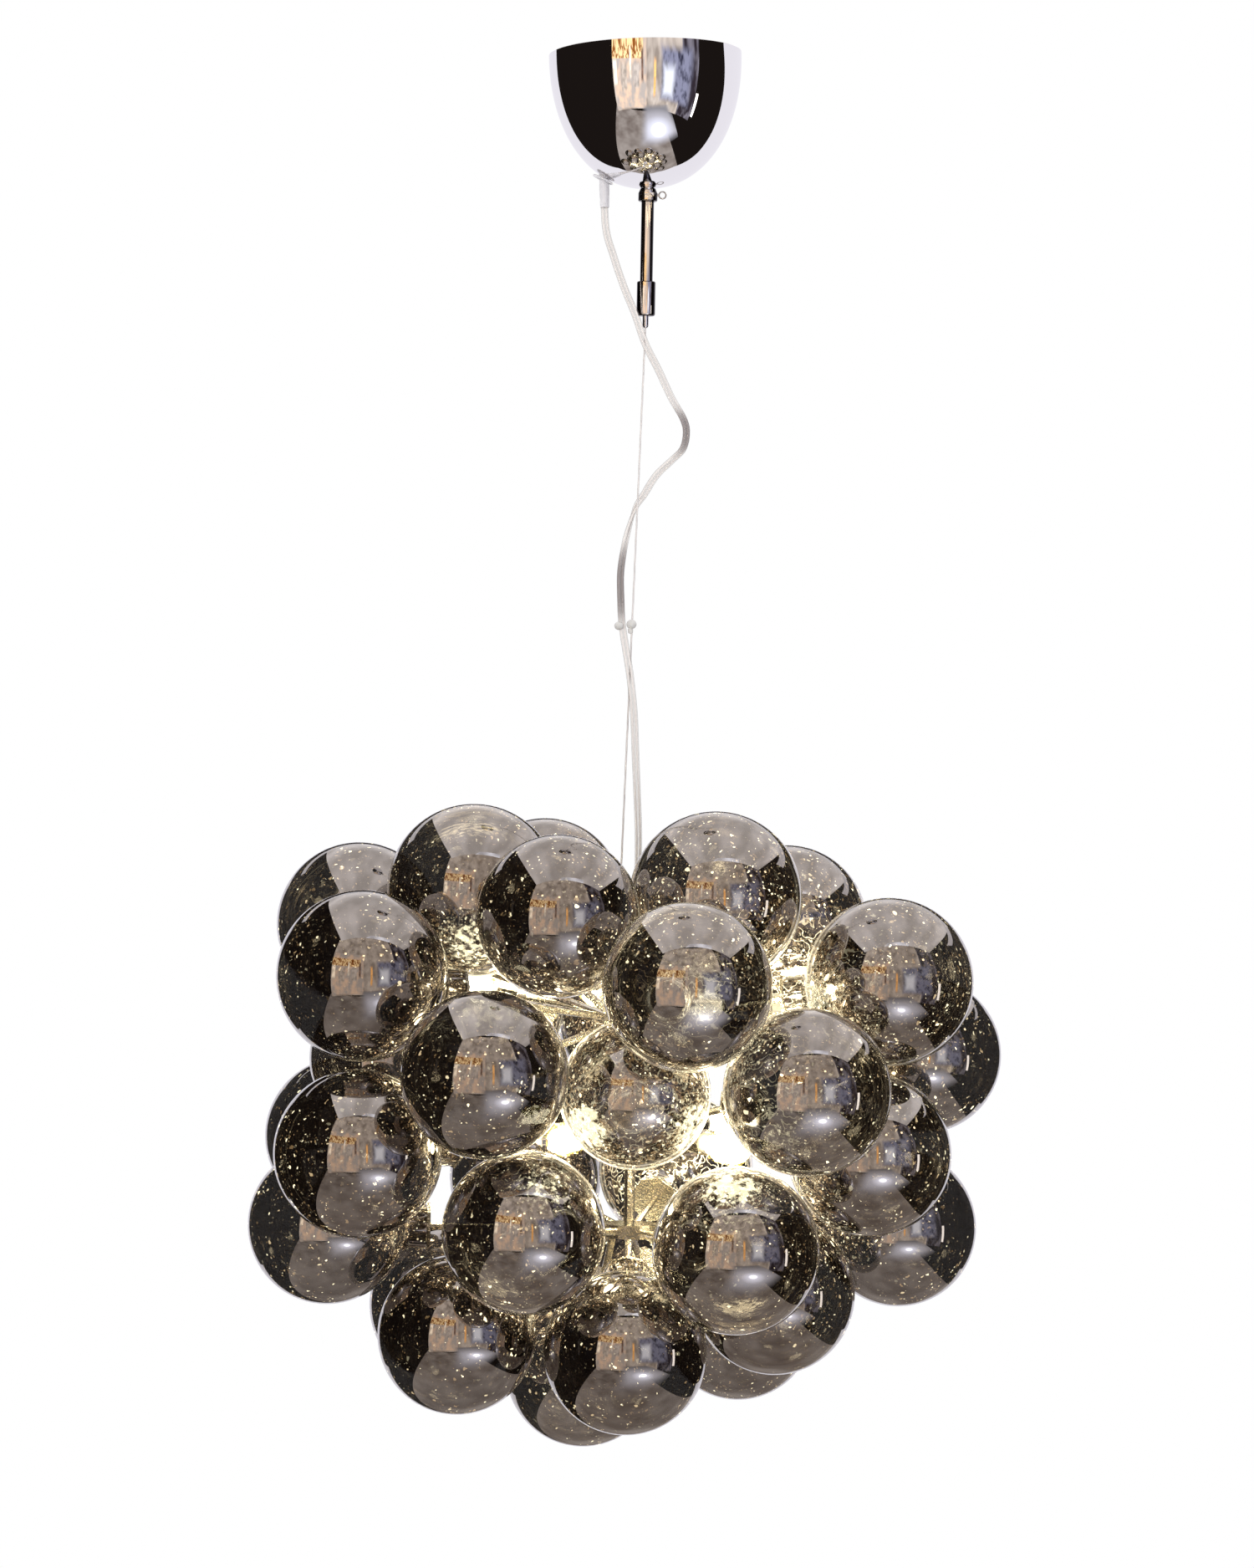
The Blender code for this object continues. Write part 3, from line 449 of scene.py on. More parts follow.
# The paper behind the lamp widens from ring to ring, each with its reach, height
# and azimuths. It is lit from inside only.
PAPER_RINGS = [(0.12, -0.37, 205, 150), (0.20, -0.37, 229, 124), (0.40, -0.33, 229, 120),
               (0.66, -0.27, 229, 116), (1.20, -0.08, 229, 111), (2.40, 0.75, 229, 104)]
PAPER_STEPS = 16
paper_glow = glow_material("back_paper", (0.88, 0.86, 0.92))
nodes, links = paper_glow.node_tree.nodes, paper_glow.node_tree.links
geometry = nodes.new("ShaderNodeNewGeometry")
see_through = nodes.new("ShaderNodeBsdfTransparent")
surface_mix(nodes, links, geometry.outputs["Backfacing"], nodes["Emission"], see_through)
work = bmesh.new()
rings = []
for reach, height, left, right in PAPER_RINGS:
    turns = [math.radians(left + (right - left) * step / PAPER_STEPS) for step in range(PAPER_STEPS + 1)]
    places = [(reach * math.sin(turn), -reach * math.cos(turn), height) for turn in turns]
    rings.append([work.verts.new(place) for place in places])
join_rings(work, rings, PAPER_STEPS)
back_paper = link_mesh("back_paper", work, smooth=False)
if back_paper.data.polygons[0].normal.z < 0:
    back_paper.data.flip_normals()
back_paper.data.materials.append(paper_glow)
reflected_only(back_paper)

flat_panel("floor_panel", PANEL_FOOT, [(-2.03, -2.4), (0.95, -2.4), (0.95, 1.5), (-0.15, 1.5)],
           glow_material("floor_panel", (0.22, 0.18, 0.16), (0.44, 0.39, 0.36), 1.8))
flat_panel("sweep_panel", PANEL_FOOT, [(-1.4, 1.5), (1.4, 1.5), (1.4, 2.4), (-1.4, 2.4)],
           glow_material("sweep_panel", (0.84, 0.82, 0.88)))
curved_panel("wall_panel", 2.6, (-40, 44), (PANEL_FOOT, 2.9), glow_material(
    "wall_panel", (0.44, 0.37, 0.32), (1.00, 0.88, 0.78), 2.4, (1, 1, 0.6), (0.36, 0.68)))
curved_panel("side_wall_panel", 2.6, (44, 66), (PANEL_FOOT, 1.9), glow_material(
    "side_wall_panel", (0.04, 0.03, 0.04), (0.30, 0.28, 0.34), 3.6, (1, 1, 0.5), (0.46, 0.70)))
curved_panel("warm_panel", 2.5, (-40, 2), (-1.62, 0.85), glow_material(
    "warm_panel", (1.25, 0.90, 0.66), (0.72, 0.64, 0.59), 3.2, (1, 1, 0.7), (0.38, 0.60), soft=0.06))
curved_panel("glitter_band", 2.46, (-40, -3), (-0.02, 0.42), glow_material(
    "glitter_band", (1.6, 1.15, 0.60), (0.42, 0.14, 0.03), 14.0, (1, 1, 0.5), (0.45, 0.58)))
WARM_STRIPES = [(-39.5, 5.0, -0.75, 0.02, (2.2, 1.9, 1.5)), (-31.0, 9.0, -0.95, -0.02, (1.0, 0.86, 0.74)),
                (-19.5, 2.4, -0.60, 0.30, (2.0, 1.8, 1.5)), (-15.0, 8.0, -0.90, -0.02, (0.95, 0.84, 0.76)),
                (-5.5, 3.0, -0.70, 0.34, (0.42, 0.26, 0.20)), (9.5, 3.2, -1.15, 0.10, (1.9, 1.0, 0.35))]
for number, (start, width, foot, top, tone) in enumerate(WARM_STRIPES):
    name = f"warm_stripe_{number + 1}"
    dimmer = tuple(0.55 * part for part in tone)
    curved_panel(name, 2.455, (start, start + width), (foot, top),
                 glow_material(name, tone, dimmer, 6.0, (1, 1, 0.8), soft=0.22))
curved_panel("window_panel", 2.45, (19, 38), (-1.15, 0.05), glow_material(
    "window_panel", (1.25, 1.30, 1.45), (0.98, 1.00, 1.16), 2.0, (1, 1, 0.4), (0.5, 0.75), soft=0.36))
curved_panel("blue_panel", 2.47, (16, 62), (-1.25, 0.42), glow_material(
    "blue_panel", (0.34, 0.35, 0.50), (0.05, 0.05, 0.09), 5.0, (1, 1, 0.7), (0.46, 0.68), soft=0.16))
curved_panel("slit_panel", 2.44, (67, 70.5), (-1.35, -0.6), glow_material("slit_panel", (2.6, 2.5, 2.4)))
for number in range(5):
    name = f"spot_panel_{number + 1}"
    start = -26.0 + 25.0 * number
    foot = 0.66 - 0.04 * (number % 2)
    curved_panel(name, 2.42, (start, start + 3.0), (foot, foot + 0.13), glow_material(name, (5.0, 4.0, 2.6)))

# The table under the lamp is brightest at one spot and dies away from it.
TABLE_SPOT = (0.46, -1.02, TABLE_HEIGHT)
table_glow, nodes, links = new_material("table_panel")
nodes.remove(nodes["Principled BSDF"])
spread = nodes.new("ShaderNodeVectorMath")
spread.operation = "DISTANCE"
spread.inputs[1].default_value = TABLE_SPOT
links.new(nodes.new("ShaderNodeNewGeometry").outputs["Position"], spread.inputs[0])
TABLE_TONES = [(0.0, 6.0, 6.3, 7.2), (1.0, 0.34, 0.33, 0.36), (0.05, 5.0, 5.3, 6.2),
               (0.12, 1.9, 2.0, 2.4), (0.30, 1.0, 1.02, 1.18), (0.60, 0.62, 0.61, 0.68)]
tone = tone_ramp(nodes, links, spread.outputs["Value"], *TABLE_TONES)
emission = nodes.new("ShaderNodeEmission")
links.new(tone, emission.inputs["Color"])
fade_edges(nodes, links, emission, ("X", "Y"), 0.22)
flat_panel("table_panel", TABLE_HEIGHT, [(-0.22, -0.40), (1.06, -0.50), (1.36, -2.15), (-0.15, -2.4)],
           table_glow)
LIGHT_AIM = Vector((0, 0, -0.6))


def soft_light(name, place, size, power, colour):
    """A round light aimed at the lamp, which reflections leave out."""
    data = bpy.data.lights.new(name, "AREA")
    data.shape = "DISK"
    data.size = size
    data.energy = power
    data.color = colour
    light = bpy.data.objects.new(name, data)
    bpy.context.scene.collection.objects.link(light)
    light.location = place
    light.rotation_euler = (LIGHT_AIM - Vector(place)).to_track_quat("-Z", "Y").to_euler()
    light.visible_glossy = False


soft_light("umbrella", (1.05, -2.1, -1.25), 0.55, 7.0, (0.86, 0.90, 1.0))
soft_light("key_light", (-1.8, -2.4, 1.2), 1.2, 30.0, (1.0, 0.98, 0.95))

# Ceiling plate and hook: a steel plate, screwed to the ceiling by two screws,
# with a bent wire hook that carries the whole lamp.


def turned(name, profile, sides=72):
    """Turn (radius, height) points round Z; a radius of zero is a pole."""
    work = bmesh.new()
    rings = []
    for radius, height in profile:
        angles = [math.tau * side / sides for side in range(sides if radius > 0 else 1)]
        places = [(radius * math.cos(angle), radius * math.sin(angle), height) for angle in angles]
        rings.append([work.verts.new(place) for place in places])
    if len(rings[0]) > 1:
        rings.append(rings[0])
    join_rings(work, rings, sides)
    return link_mesh(name, work)


def bumps_by(nodes, links, source, strength, distance):
    bump = add_node(nodes, "Bump", Strength=strength, Distance=distance)
    links.new(source, bump.inputs["Height"])
    links.new(bump.outputs["Normal"], nodes["Principled BSDF"].inputs["Normal"])


def metal(name, colour, roughness, scratch_scale, scratch_depth, spread=0.06):
    """Polished or plain metal with a faint uneven sheen and hairline marks."""
    material, nodes, links = new_material(name)
    shader = shader_of(nodes, Base_Color=(*colour, 1), Metallic=1.0)
    sheen = add_node(nodes, "MapRange", To_Min=roughness, To_Max=roughness + spread)
    links.new(object_noise(nodes, links, scratch_scale, 4.0), sheen.inputs["Value"])
    links.new(sheen.outputs["Result"], shader.inputs["Roughness"])
    bumps_by(nodes, links, object_noise(nodes, links, scratch_scale * 6), scratch_depth, 0.0004)
    return material


def dress(node, material):
    """Give a CAD node a finer material."""
    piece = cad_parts[node]
    piece.data.materials.clear()
    piece.data.materials.append(material)


plain_steel = metal("plain_steel", (0.60, 0.59, 0.58), roughness=0.28, scratch_scale=60.0, scratch_depth=0.05)
dress("ceiling_plate", plain_steel)
dress("ceiling_hook", plain_steel)

# Suspension tube: thin chrome tube with its hanging eye, hung on the hook. At
# its foot sits the gripper barrel with a sprung nipple for the wire.
CHROME_COLOUR = (0.90, 0.89, 0.90)
chrome = metal("chrome_plate", CHROME_COLOUR, roughness=0.015, scratch_scale=40.0, scratch_depth=0.004,
               spread=0.02)
chrome_painted_dark_edges = metal("chrome_with_painted_dark_edges", CHROME_COLOUR, roughness=0.03, scratch_scale=90.0,
                    scratch_depth=0.02, spread=0.04)
# Painted reflection: the base colour turns almost black towards the grazing edges of the tube, barrel and
# collar, standing in for a dark room mirrored there.
nodes, links = chrome_painted_dark_edges.node_tree.nodes, chrome_painted_dark_edges.node_tree.links
facing = add_node(nodes, "LayerWeight", Blend=0.5).outputs["Facing"]
colour_by(nodes, links, facing, (0.16, 0.92, 0.86, 0.80), (0.30, 0.03, 0.025, 0.03))
TUBE_RADIUS = 0.0042
TUBE_BORE = 0.0022
TUBE_TOP = -0.0286
tube_low, tube_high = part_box("suspension_tube")
tube_profile = [(TUBE_BORE, tube_low.z), (TUBE_RADIUS, tube_low.z), (TUBE_RADIUS, TUBE_TOP - 0.0014)]
tube_profile += [(TUBE_RADIUS - 0.0008, TUBE_TOP), (TUBE_BORE, TUBE_TOP)]
tube_skin = turned("tube_skin", tube_profile, sides=48)
tube_skin.data.materials.append(chrome_painted_dark_edges)
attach(tube_skin, "hanger")


def wire_ring(work, centre, across, up, reach, thick, steps, sides):
    """A ring of round wire, in the plane of two directions."""
    out = up.cross(across)
    rings = []
    for step in range(steps):
        around = math.tau * step / steps
        way = across * math.cos(around) + up * math.sin(around)
        ring = []
        for side in range(sides):
            angle = math.tau * side / sides
            middle_line = reach + thick * math.cos(angle)
            ring.append(work.verts.new(centre + way * middle_line + out * thick * math.sin(angle)))
        rings.append(ring)
    join_rings(work, rings + rings[:1], sides)


EYE_REACH = 0.0065
EYE_THICK = 0.0018
eye_middle = Vector((0, 0, tube_high.z - EYE_THICK - EYE_REACH))
eye = bmesh.new()
wire_ring(eye, eye_middle, Vector((0, 0, 1)), Vector((0, 1, 0)), EYE_REACH, EYE_THICK, steps=48, sides=20)
hanging_eye = link_mesh("hanging_eye", eye)
hanging_eye.data.materials.append(chrome)
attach(hanging_eye, "hanger")
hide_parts("suspension_tube")

BARREL_RADIUS = 0.0062
BARREL_TOP = -0.155
BARREL_BOTTOM = -0.1778
BARREL_EDGE = 0.0058
BARREL_LIP = 0.0012
BARREL_BORE = 0.0045
TUBE_SEAT = -0.1633
SPRING_BORE = 0.0039
NIPPLE_HOLE = 0.0024
barrel_profile = [(BARREL_BORE, BARREL_TOP), (BARREL_EDGE, BARREL_TOP), (BARREL_RADIUS, BARREL_TOP - 0.0005)]
barrel_profile += [(BARREL_RADIUS, BARREL_BOTTOM + BARREL_LIP), (BARREL_EDGE, BARREL_BOTTOM + 0.0004)]
barrel_profile += [(BARREL_EDGE - 0.0008, BARREL_BOTTOM), (NIPPLE_HOLE, BARREL_BOTTOM)]
barrel_profile += [(NIPPLE_HOLE, BARREL_BOTTOM + BARREL_LIP), (SPRING_BORE, BARREL_BOTTOM + BARREL_LIP)]
barrel_profile += [(SPRING_BORE, TUBE_SEAT), (BARREL_BORE, TUBE_SEAT)]
barrel = turned("barrel_skin", barrel_profile, sides=64)
barrel.data.materials.append(chrome_painted_dark_edges)
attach(barrel, "hanger")
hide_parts("gripper_barrel")

NIPPLE_RADIUS = 0.0021
NIPPLE_BORE = 0.0009
NIPPLE_BOTTOM = -0.1856
NIPPLE_HEAD = 0.0036
NIPPLE_HEAD_TOP = -0.1733
NIPPLE_HEAD_FOOT = -0.1763
nipple_profile = [(NIPPLE_BORE, NIPPLE_HEAD_TOP), (NIPPLE_HEAD, NIPPLE_HEAD_TOP)]
nipple_profile += [(NIPPLE_HEAD, NIPPLE_HEAD_FOOT), (NIPPLE_RADIUS, NIPPLE_HEAD_FOOT)]
nipple_profile += [(NIPPLE_RADIUS, NIPPLE_BOTTOM + 0.0014), (NIPPLE_RADIUS - 0.0004, NIPPLE_BOTTOM + 0.0003)]
nipple_profile += [(NIPPLE_RADIUS - 0.0007, NIPPLE_BOTTOM), (NIPPLE_BORE, NIPPLE_BOTTOM)]
nipple = turned("nipple_skin", nipple_profile, sides=40)
nipple.data.materials.append(chrome)
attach(nipple, "nipple")
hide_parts("gripper_nipple")

# Ceiling cup: spun and chromed steel bowl that hides the wiring. A turned collar
# with a small thumbscrew clamps it to the tube. The sleeve of its clear gland
# sits on the cord, and the gland's flange on the cup.
CUP_RIM = -0.0038
CUP_RADIUS = 0.064
CUP_HEIGHT = 0.089
CUP_WALL = 0.0012
CUP_HOLE = 0.0048
CUP_ROUNDNESS = 2.15
RIM_ROLL = 0.0003
BOWL_STEPS = 40


def bowl_line(radius, depth):
    """Points down the bowl's wall from its rim almost to its middle."""
    line = []
    for step in range(BOWL_STEPS):
        turn = math.pi / 2 * step / BOWL_STEPS
        reach = radius * math.cos(turn) ** (2 / CUP_ROUNDNESS)
        line.append((reach, CUP_RIM - depth * math.sin(turn) ** (2 / CUP_ROUNDNESS)))
    return line


outer = bowl_line(CUP_RADIUS, CUP_HEIGHT)
inner = bowl_line(CUP_RADIUS - CUP_WALL, CUP_HEIGHT - CUP_WALL)
cup_bottom = CUP_RIM - CUP_HEIGHT
cup_profile = outer + [(CUP_HOLE, cup_bottom), (CUP_HOLE, cup_bottom + CUP_WALL)] + inner[::-1]
for wall_share in (0.75, 0.3):
    cup_profile.append((CUP_RADIUS - CUP_WALL * wall_share, CUP_RIM + RIM_ROLL))
cup = turned("cup_skin", cup_profile, sides=128)
CUP_LEAN = math.radians(-2.25)
to_bottom = Matrix.Translation((0, 0, cup_bottom))
lean = to_bottom @ Matrix.Rotation(CUP_LEAN, 4, "Y") @ to_bottom.inverted()
cup.data.transform(lean)
cup.data.materials.append(chrome)
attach(cup, "cup")
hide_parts("ceiling_cup")

collar_low, collar_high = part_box("cup_collar")
COLLAR_RADIUS = 0.0064
COLLAR_BORE = 0.0045
COLLAR_EDGE = 0.0005
collar_profile = [(COLLAR_BORE, collar_high.z), (COLLAR_BORE + COLLAR_EDGE, collar_high.z)]
collar_profile += [(COLLAR_RADIUS, collar_high.z - 0.0032), (COLLAR_RADIUS, collar_low.z + 0.0006)]
collar_profile += [(COLLAR_RADIUS - COLLAR_EDGE, collar_low.z), (COLLAR_BORE, collar_low.z)]
collar = turned("collar_skin", collar_profile, sides=56)
collar.data.materials.append(chrome_painted_dark_edges)
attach(collar, "cup")
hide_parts("cup_collar")

SCREW_RING = 0.0023
SCREW_WIRE = 0.0005
SCREW_SHANK = 0.0010
SHANK_SIDES = 16
screw_low, screw_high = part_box("collar_thumbscrew")
screw_height = (screw_low.z + screw_high.z) / 2
ring_middle = screw_high.x - SCREW_RING - SCREW_WIRE
work = bmesh.new()
wire_ring(work, Vector((ring_middle, 0, screw_height)), Vector((1, 0, 0)), Vector((0, 0, 1)),
          SCREW_RING, SCREW_WIRE, steps=36, sides=12)
shank = []
for along in (screw_low.x, ring_middle - SCREW_RING):
    turns = [math.tau * side / SHANK_SIDES for side in range(SHANK_SIDES)]
    round_shank = [(SCREW_SHANK * math.cos(turn), SCREW_SHANK * math.sin(turn)) for turn in turns]
    shank.append([work.verts.new((along, aside, screw_height + rise)) for aside, rise in round_shank])
join_rings(work, shank, SHANK_SIDES)
work.faces.new(shank[0])
work.faces.new(shank[1])
thumbscrew = link_mesh("ring_thumbscrew", work)
thumbscrew.data.materials.append(plain_steel)
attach(thumbscrew, "thumbscrew")
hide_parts("collar_thumbscrew")

gland_plastic = milky("gland_plastic", (0.98, 0.97, 0.98), (0.94, 0.92, 0.95), edge=0.90, clear_share=0.35)
GLAND_PLACE = -0.029
GLAND_BORE = 0.0029
GLAND_SLEEVE = 0.0034
GLAND_FOOT = -0.105
GLAND_TAPER = 0.0120
GLAND_INSIDE = 0.0050
bowl_share = abs(GLAND_PLACE) / CUP_RADIUS
gland_height = CUP_RIM - CUP_HEIGHT * (1 - bowl_share ** CUP_ROUNDNESS) ** (1 / CUP_ROUNDNESS)
sleeve_top = gland_height + GLAND_INSIDE
sleeve_profile = [(GLAND_BORE, sleeve_top), (GLAND_SLEEVE, sleeve_top)]
sleeve_profile += [(GLAND_SLEEVE, GLAND_FOOT + GLAND_TAPER), (GLAND_BORE + 0.0001, GLAND_FOOT)]
sleeve_profile += [(GLAND_BORE, GLAND_FOOT)]
gland_sleeve = turned("gland_sleeve", sleeve_profile, sides=40)
gland_sleeve.data.transform(lean @ Matrix.Translation((GLAND_PLACE, 0, 0)))

# The flange lies against the slope of the bowl. Its hole is a slot, so that the
# cup can slide down along the leaning sleeve.
FLANGE_RADIUS = 0.0074
FLANGE_HOLE = GLAND_SLEEVE + 0.0006
FLANGE_TOP = -0.0012
FLANGE_BOTTOM = -0.0023
FLANGE_EDGE = 0.0004
FLANGE_TILT = math.radians(27.0)
SLOT_STRETCH = 1.65
flange_profile = [(FLANGE_HOLE, FLANGE_TOP), (FLANGE_RADIUS - FLANGE_EDGE, FLANGE_TOP)]
flange_profile += [(FLANGE_RADIUS, FLANGE_TOP - 0.0003), (FLANGE_RADIUS, FLANGE_BOTTOM + 0.0003)]
flange_profile += [(FLANGE_RADIUS - FLANGE_EDGE, FLANGE_BOTTOM), (FLANGE_HOLE, FLANGE_BOTTOM)]
gland_flange = turned("gland_flange", flange_profile, sides=48)
for vertex in gland_flange.data.vertices:
    if vertex.co.x > 0 and math.hypot(vertex.co.x, vertex.co.y) < FLANGE_HOLE + 0.0006:
        vertex.co.x *= SLOT_STRETCH
on_bowl = Matrix.Translation((GLAND_PLACE, 0, gland_height)) @ Matrix.Rotation(FLANGE_TILT, 4, "Y")
gland_flange.data.transform(lean @ on_bowl)
for piece, body in ((gland_sleeve, "hanger"), (gland_flange, "cup")):
    piece.data.materials.append(gland_plastic)
    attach(piece, body)
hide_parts("cord_gland")

# Terminal block: white ceramic block inside the cup, on a saddle round the tube.
glazed_white, nodes, links = new_material("white_ceramic")
shader_of(nodes, Roughness=0.3, Coat_Weight=0.4, Coat_Roughness=0.08)
body_grain = object_noise(nodes, links, 420.0, 4.0)
colour_by(nodes, links, body_grain, (0.30, 0.80, 0.79, 0.76), (0.60, 0.88, 0.87, 0.84))
bumps_by(nodes, links, body_grain, 0.15, 0.0003)
dress("terminal_block", glazed_white)

# Suspension wire: thin steel rope under tension, clamped in the gripper above
# and crimped in a ferrule under the head. A clear clip ties the cord to it.
WIRE_RADIUS = 0.0006
WIRE_TOP = -0.1328
WIRE_AT_HEAD = Vector((-0.011, 0, -0.599))
WIRE_END = Vector((-0.011, 0, -0.6126))
WIRE_STEP = 0.002
STRAND_DEPTH = 0.10
STRAND_TWIST = 60.0
WIRE_CORNERS = 18
wire_line = [Vector((0, 0, WIRE_TOP)), Vector((0, 0, NIPPLE_BOTTOM)), WIRE_AT_HEAD, WIRE_END]
wire_points = []
for start, end in zip(wire_line, wire_line[1:]):
    steps = max(2, round((end - start).length / WIRE_STEP))
    wire_points += [start.lerp(end, step / steps) for step in range(steps)]
wire_points.append(wire_line[-1])
wire_outline = []
for corner in range(WIRE_CORNERS):
    angle = math.tau * corner / WIRE_CORNERS
    reach = WIRE_RADIUS * (1 + STRAND_DEPTH * math.cos(3 * angle))
    wire_outline.append((reach * math.cos(angle), reach * math.sin(angle)))
wire_skin = sweep("wire_skin", wire_points, wire_outline, lambda share: STRAND_TWIST * share)
bright_wire = metal("bright_wire", (0.80, 0.77, 0.76), roughness=0.42, scratch_scale=300.0, scratch_depth=0.1)
shader_of(bright_wire.node_tree.nodes, Metallic=0.35)
wire_skin.data.materials.append(bright_wire)
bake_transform(wire_skin)
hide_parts("suspension_wire")
dress("wire_ferrule", plain_steel)

CLIP_DROP = -0.3835
LOBE_RADIUS = 0.0034
LOBE_STEPS = 12
clip_plastic = milky("clip_plastic", (0.93, 0.92, 0.91), (0.74, 0.72, 0.70), edge=0.95, clear_share=0.15)
cord_at_clip = min(cord_points, key=lambda point: abs(point.z - CLIP_DROP))
wire_share = (CLIP_DROP - NIPPLE_BOTTOM) / (WIRE_AT_HEAD.z - NIPPLE_BOTTOM)
wire_at_clip = Vector((WIRE_AT_HEAD.x * wire_share, 0, CLIP_DROP))
lobe_profile = [(0.0, LOBE_RADIUS)]
for step in range(1, LOBE_STEPS):
    angle = math.pi * step / LOBE_STEPS
    lobe_profile.append((LOBE_RADIUS * math.sin(angle), LOBE_RADIUS * math.cos(angle)))
lobe_profile.append((0.0, -LOBE_RADIUS))
lobes = [("clip_lobe_on_cord", cord_at_clip + Vector((-0.0020, 0, -0.0010)), (0.95, 0.95, 0.85)),
         ("clip_lobe_on_wire", wire_at_clip + Vector((-0.0004, 0, 0.0008)), (1.0, 1.0, 0.95))]
clip_pieces = []
for name, place, squeeze in lobes:
    lobe = turned(name, lobe_profile, sides=32)
    lobe.data.transform(Matrix.Translation(place) @ Matrix.Diagonal((*squeeze, 1)))
    clip_pieces.append(lobe)
stub_profile = [(0.0, 0.0), (0.0014, 0.0), (0.0018, -0.0010), (0.0016, -0.0034), (0.0, -0.0040)]
stub = turned("clip_stub", stub_profile, sides=24)
stub.data.transform(Matrix.Translation(wire_at_clip + Vector((-0.0010, 0, -0.0016))))
clip_pieces.append(stub)
for piece in clip_pieces:
    piece.data.materials.append(clip_plastic)
    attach(piece, "wire")
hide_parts("cord_clip")

# Frame: a head, a hollow stem and three hubs whose thin arms end in a flange
# and plug for each globe, or in a holder for a lamp.
dress("cluster_head", chrome)
arm_steel = metal("arm_steel", (0.80, 0.75, 0.64), roughness=0.14, scratch_scale=70.0, scratch_depth=1.0)
for node in ("centre_stem", "upper_spider", "middle_spider", "lower_spider"):
    dress(node, arm_steel)

# Lamps: lit bulbs of cracked-ice glass on a small base, plugged into holders on
# the arms, between the globes. Their outermost ridges are clear, the rest glows.
BULB_RADIUS = 0.0115
BULB_HALF = 0.0185
BULB_FOOT = -0.0136
BULB_LIFT = 0.0035
BULB_START = -58.0
BULB_STEPS = 14
CRACK_DEPTH = 0.0016
CRACK_SCALE = 330.0
CRACK_SHIFT = 7.0
BASE_RADIUS = 0.0065
BASE_TOP = -0.0138
BASE_FOOT = -0.0225
bulb_glow, nodes, links = new_material("lit_crackle_glass")
nodes.remove(nodes["Principled BSDF"])
facing = add_node(nodes, "LayerWeight", Blend=0.5).outputs["Facing"]
half = maths(nodes, links, "MULTIPLY", facing, 0.5)
depth = maths(nodes, links, "MULTIPLY_ADD", object_noise(nodes, links, 280.0, 3.0), 0.8, half)
glow = nodes.new("ShaderNodeEmission")
BULB_TONES = [(0.58, 30.0, 27.0, 18.0), (0.74, 1.3, 0.9, 0.12), (0.66, 4.0, 3.4, 1.3)]
links.new(tone_ramp(nodes, links, depth, *BULB_TONES), glow.inputs["Color"])
torn_edge = tone_ramp(nodes, links, depth, (0.74, 0, 0, 0), (0.77, 1, 1, 1))
surface_mix(nodes, links, torn_edge, glow, nodes.new("ShaderNodeBsdfTransparent"))

base_shape = [(0.0, BASE_FOOT), (BASE_RADIUS - 0.0003, BASE_FOOT), (BASE_RADIUS, BASE_FOOT + 0.0005)]
base_shape += [(BASE_RADIUS, BASE_TOP - 0.0004), (BASE_RADIUS - 0.0005, BASE_TOP), (0.0, BASE_TOP)]
bulb_shape = [(0.0, BULB_FOOT)]
for step in range(BULB_STEPS):
    angle = math.radians(BULB_START + (90.0 - BULB_START) * step / BULB_STEPS)
    bulb_shape.append((BULB_RADIUS * math.cos(angle), BULB_HALF * math.sin(angle)))
bulb_shape.append((0.0, BULB_HALF))
lamp_places = []
for number in range(1, 9):
    name = f"lamp_{number}"
    low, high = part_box(name)
    lamp_middle = (low + high) / 2
    corners = [vertex.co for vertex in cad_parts[name].data.vertices]
    from_hub = Vector((lamp_middle.x, lamp_middle.y, 0))
    spread = np.cov(np.array([tuple(corner) for corner in corners]).T)
    axis = Vector(np.linalg.eigh(spread)[1][:, 2])
    if axis.dot(from_hub) < 0:
        axis = -axis
    bulb = turned(f"bulb_{number}", bulb_shape, sides=40)
    for vertex in bulb.data.vertices:
        if vertex.co.z > BULB_FOOT + 0.0006:
            crack = mathutils.noise.noise(vertex.co * CRACK_SCALE + Vector((number * CRACK_SHIFT, 0, 0)))
            vertex.co += vertex.co.normalized() * CRACK_DEPTH * crack
    base = turned(f"bulb_base_{number}", base_shape, sides=32)
    stand = Vector((0, 0, 1)).rotation_difference(axis).to_matrix().to_4x4()
    place = lamp_middle + axis * BULB_LIFT
    for piece, material, slot in ((bulb, bulb_glow, "lamp_glass"), (base, glazed_white, "white_ceramic")):
        piece.data.transform(Matrix.Translation(place) @ stand)
        piece.data.materials.append(material)
        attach(piece, "cluster")
    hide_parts(name)
    lamp_places.append(place)

# Globes: mouth-blown clear glass, mirrored inside with a thin smoke coat full of pinholes. The lamps' light
# showing through is painted on as glowing specks and blazes. Each is held by its neck.
WIDEST_RING = math.radians(93.0)


def globe_measures(name):
    """Centre, axis towards the neck, and radius, read from the fixed solid. Its
    corners lie evenly round the axis, the farthest is the pole, and the widest
    ring lies a little past the middle."""
    verts = np.array([v.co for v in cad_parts[name].data.vertices])
    verts = np.unique(np.round(verts, 6), axis=0)
    middle = verts.mean(axis=0)
    reach = np.linalg.norm(verts - middle, axis=1)
    pole = verts[reach.argmax()]
    axis = (middle - pole) / np.linalg.norm(middle - pole)
    along = (verts - middle) @ axis
    away = np.linalg.norm(verts - middle - np.outer(along, axis), axis=1)
    radius = away.max() / math.sin(WIDEST_RING)
    centre = middle + axis * (along.min() + radius)
    return Vector(centre), Vector(axis), radius


GLOBE_SIDES = 64
GLOBE_RINGS = 36
NECK_RADIUS = 0.0145
NECK_WALL = 0.0018
NECK_FOOT = 1.02
NECK_END = 1.235
NECK_INSIDE = 1.05
NECK_GAP = 3.0


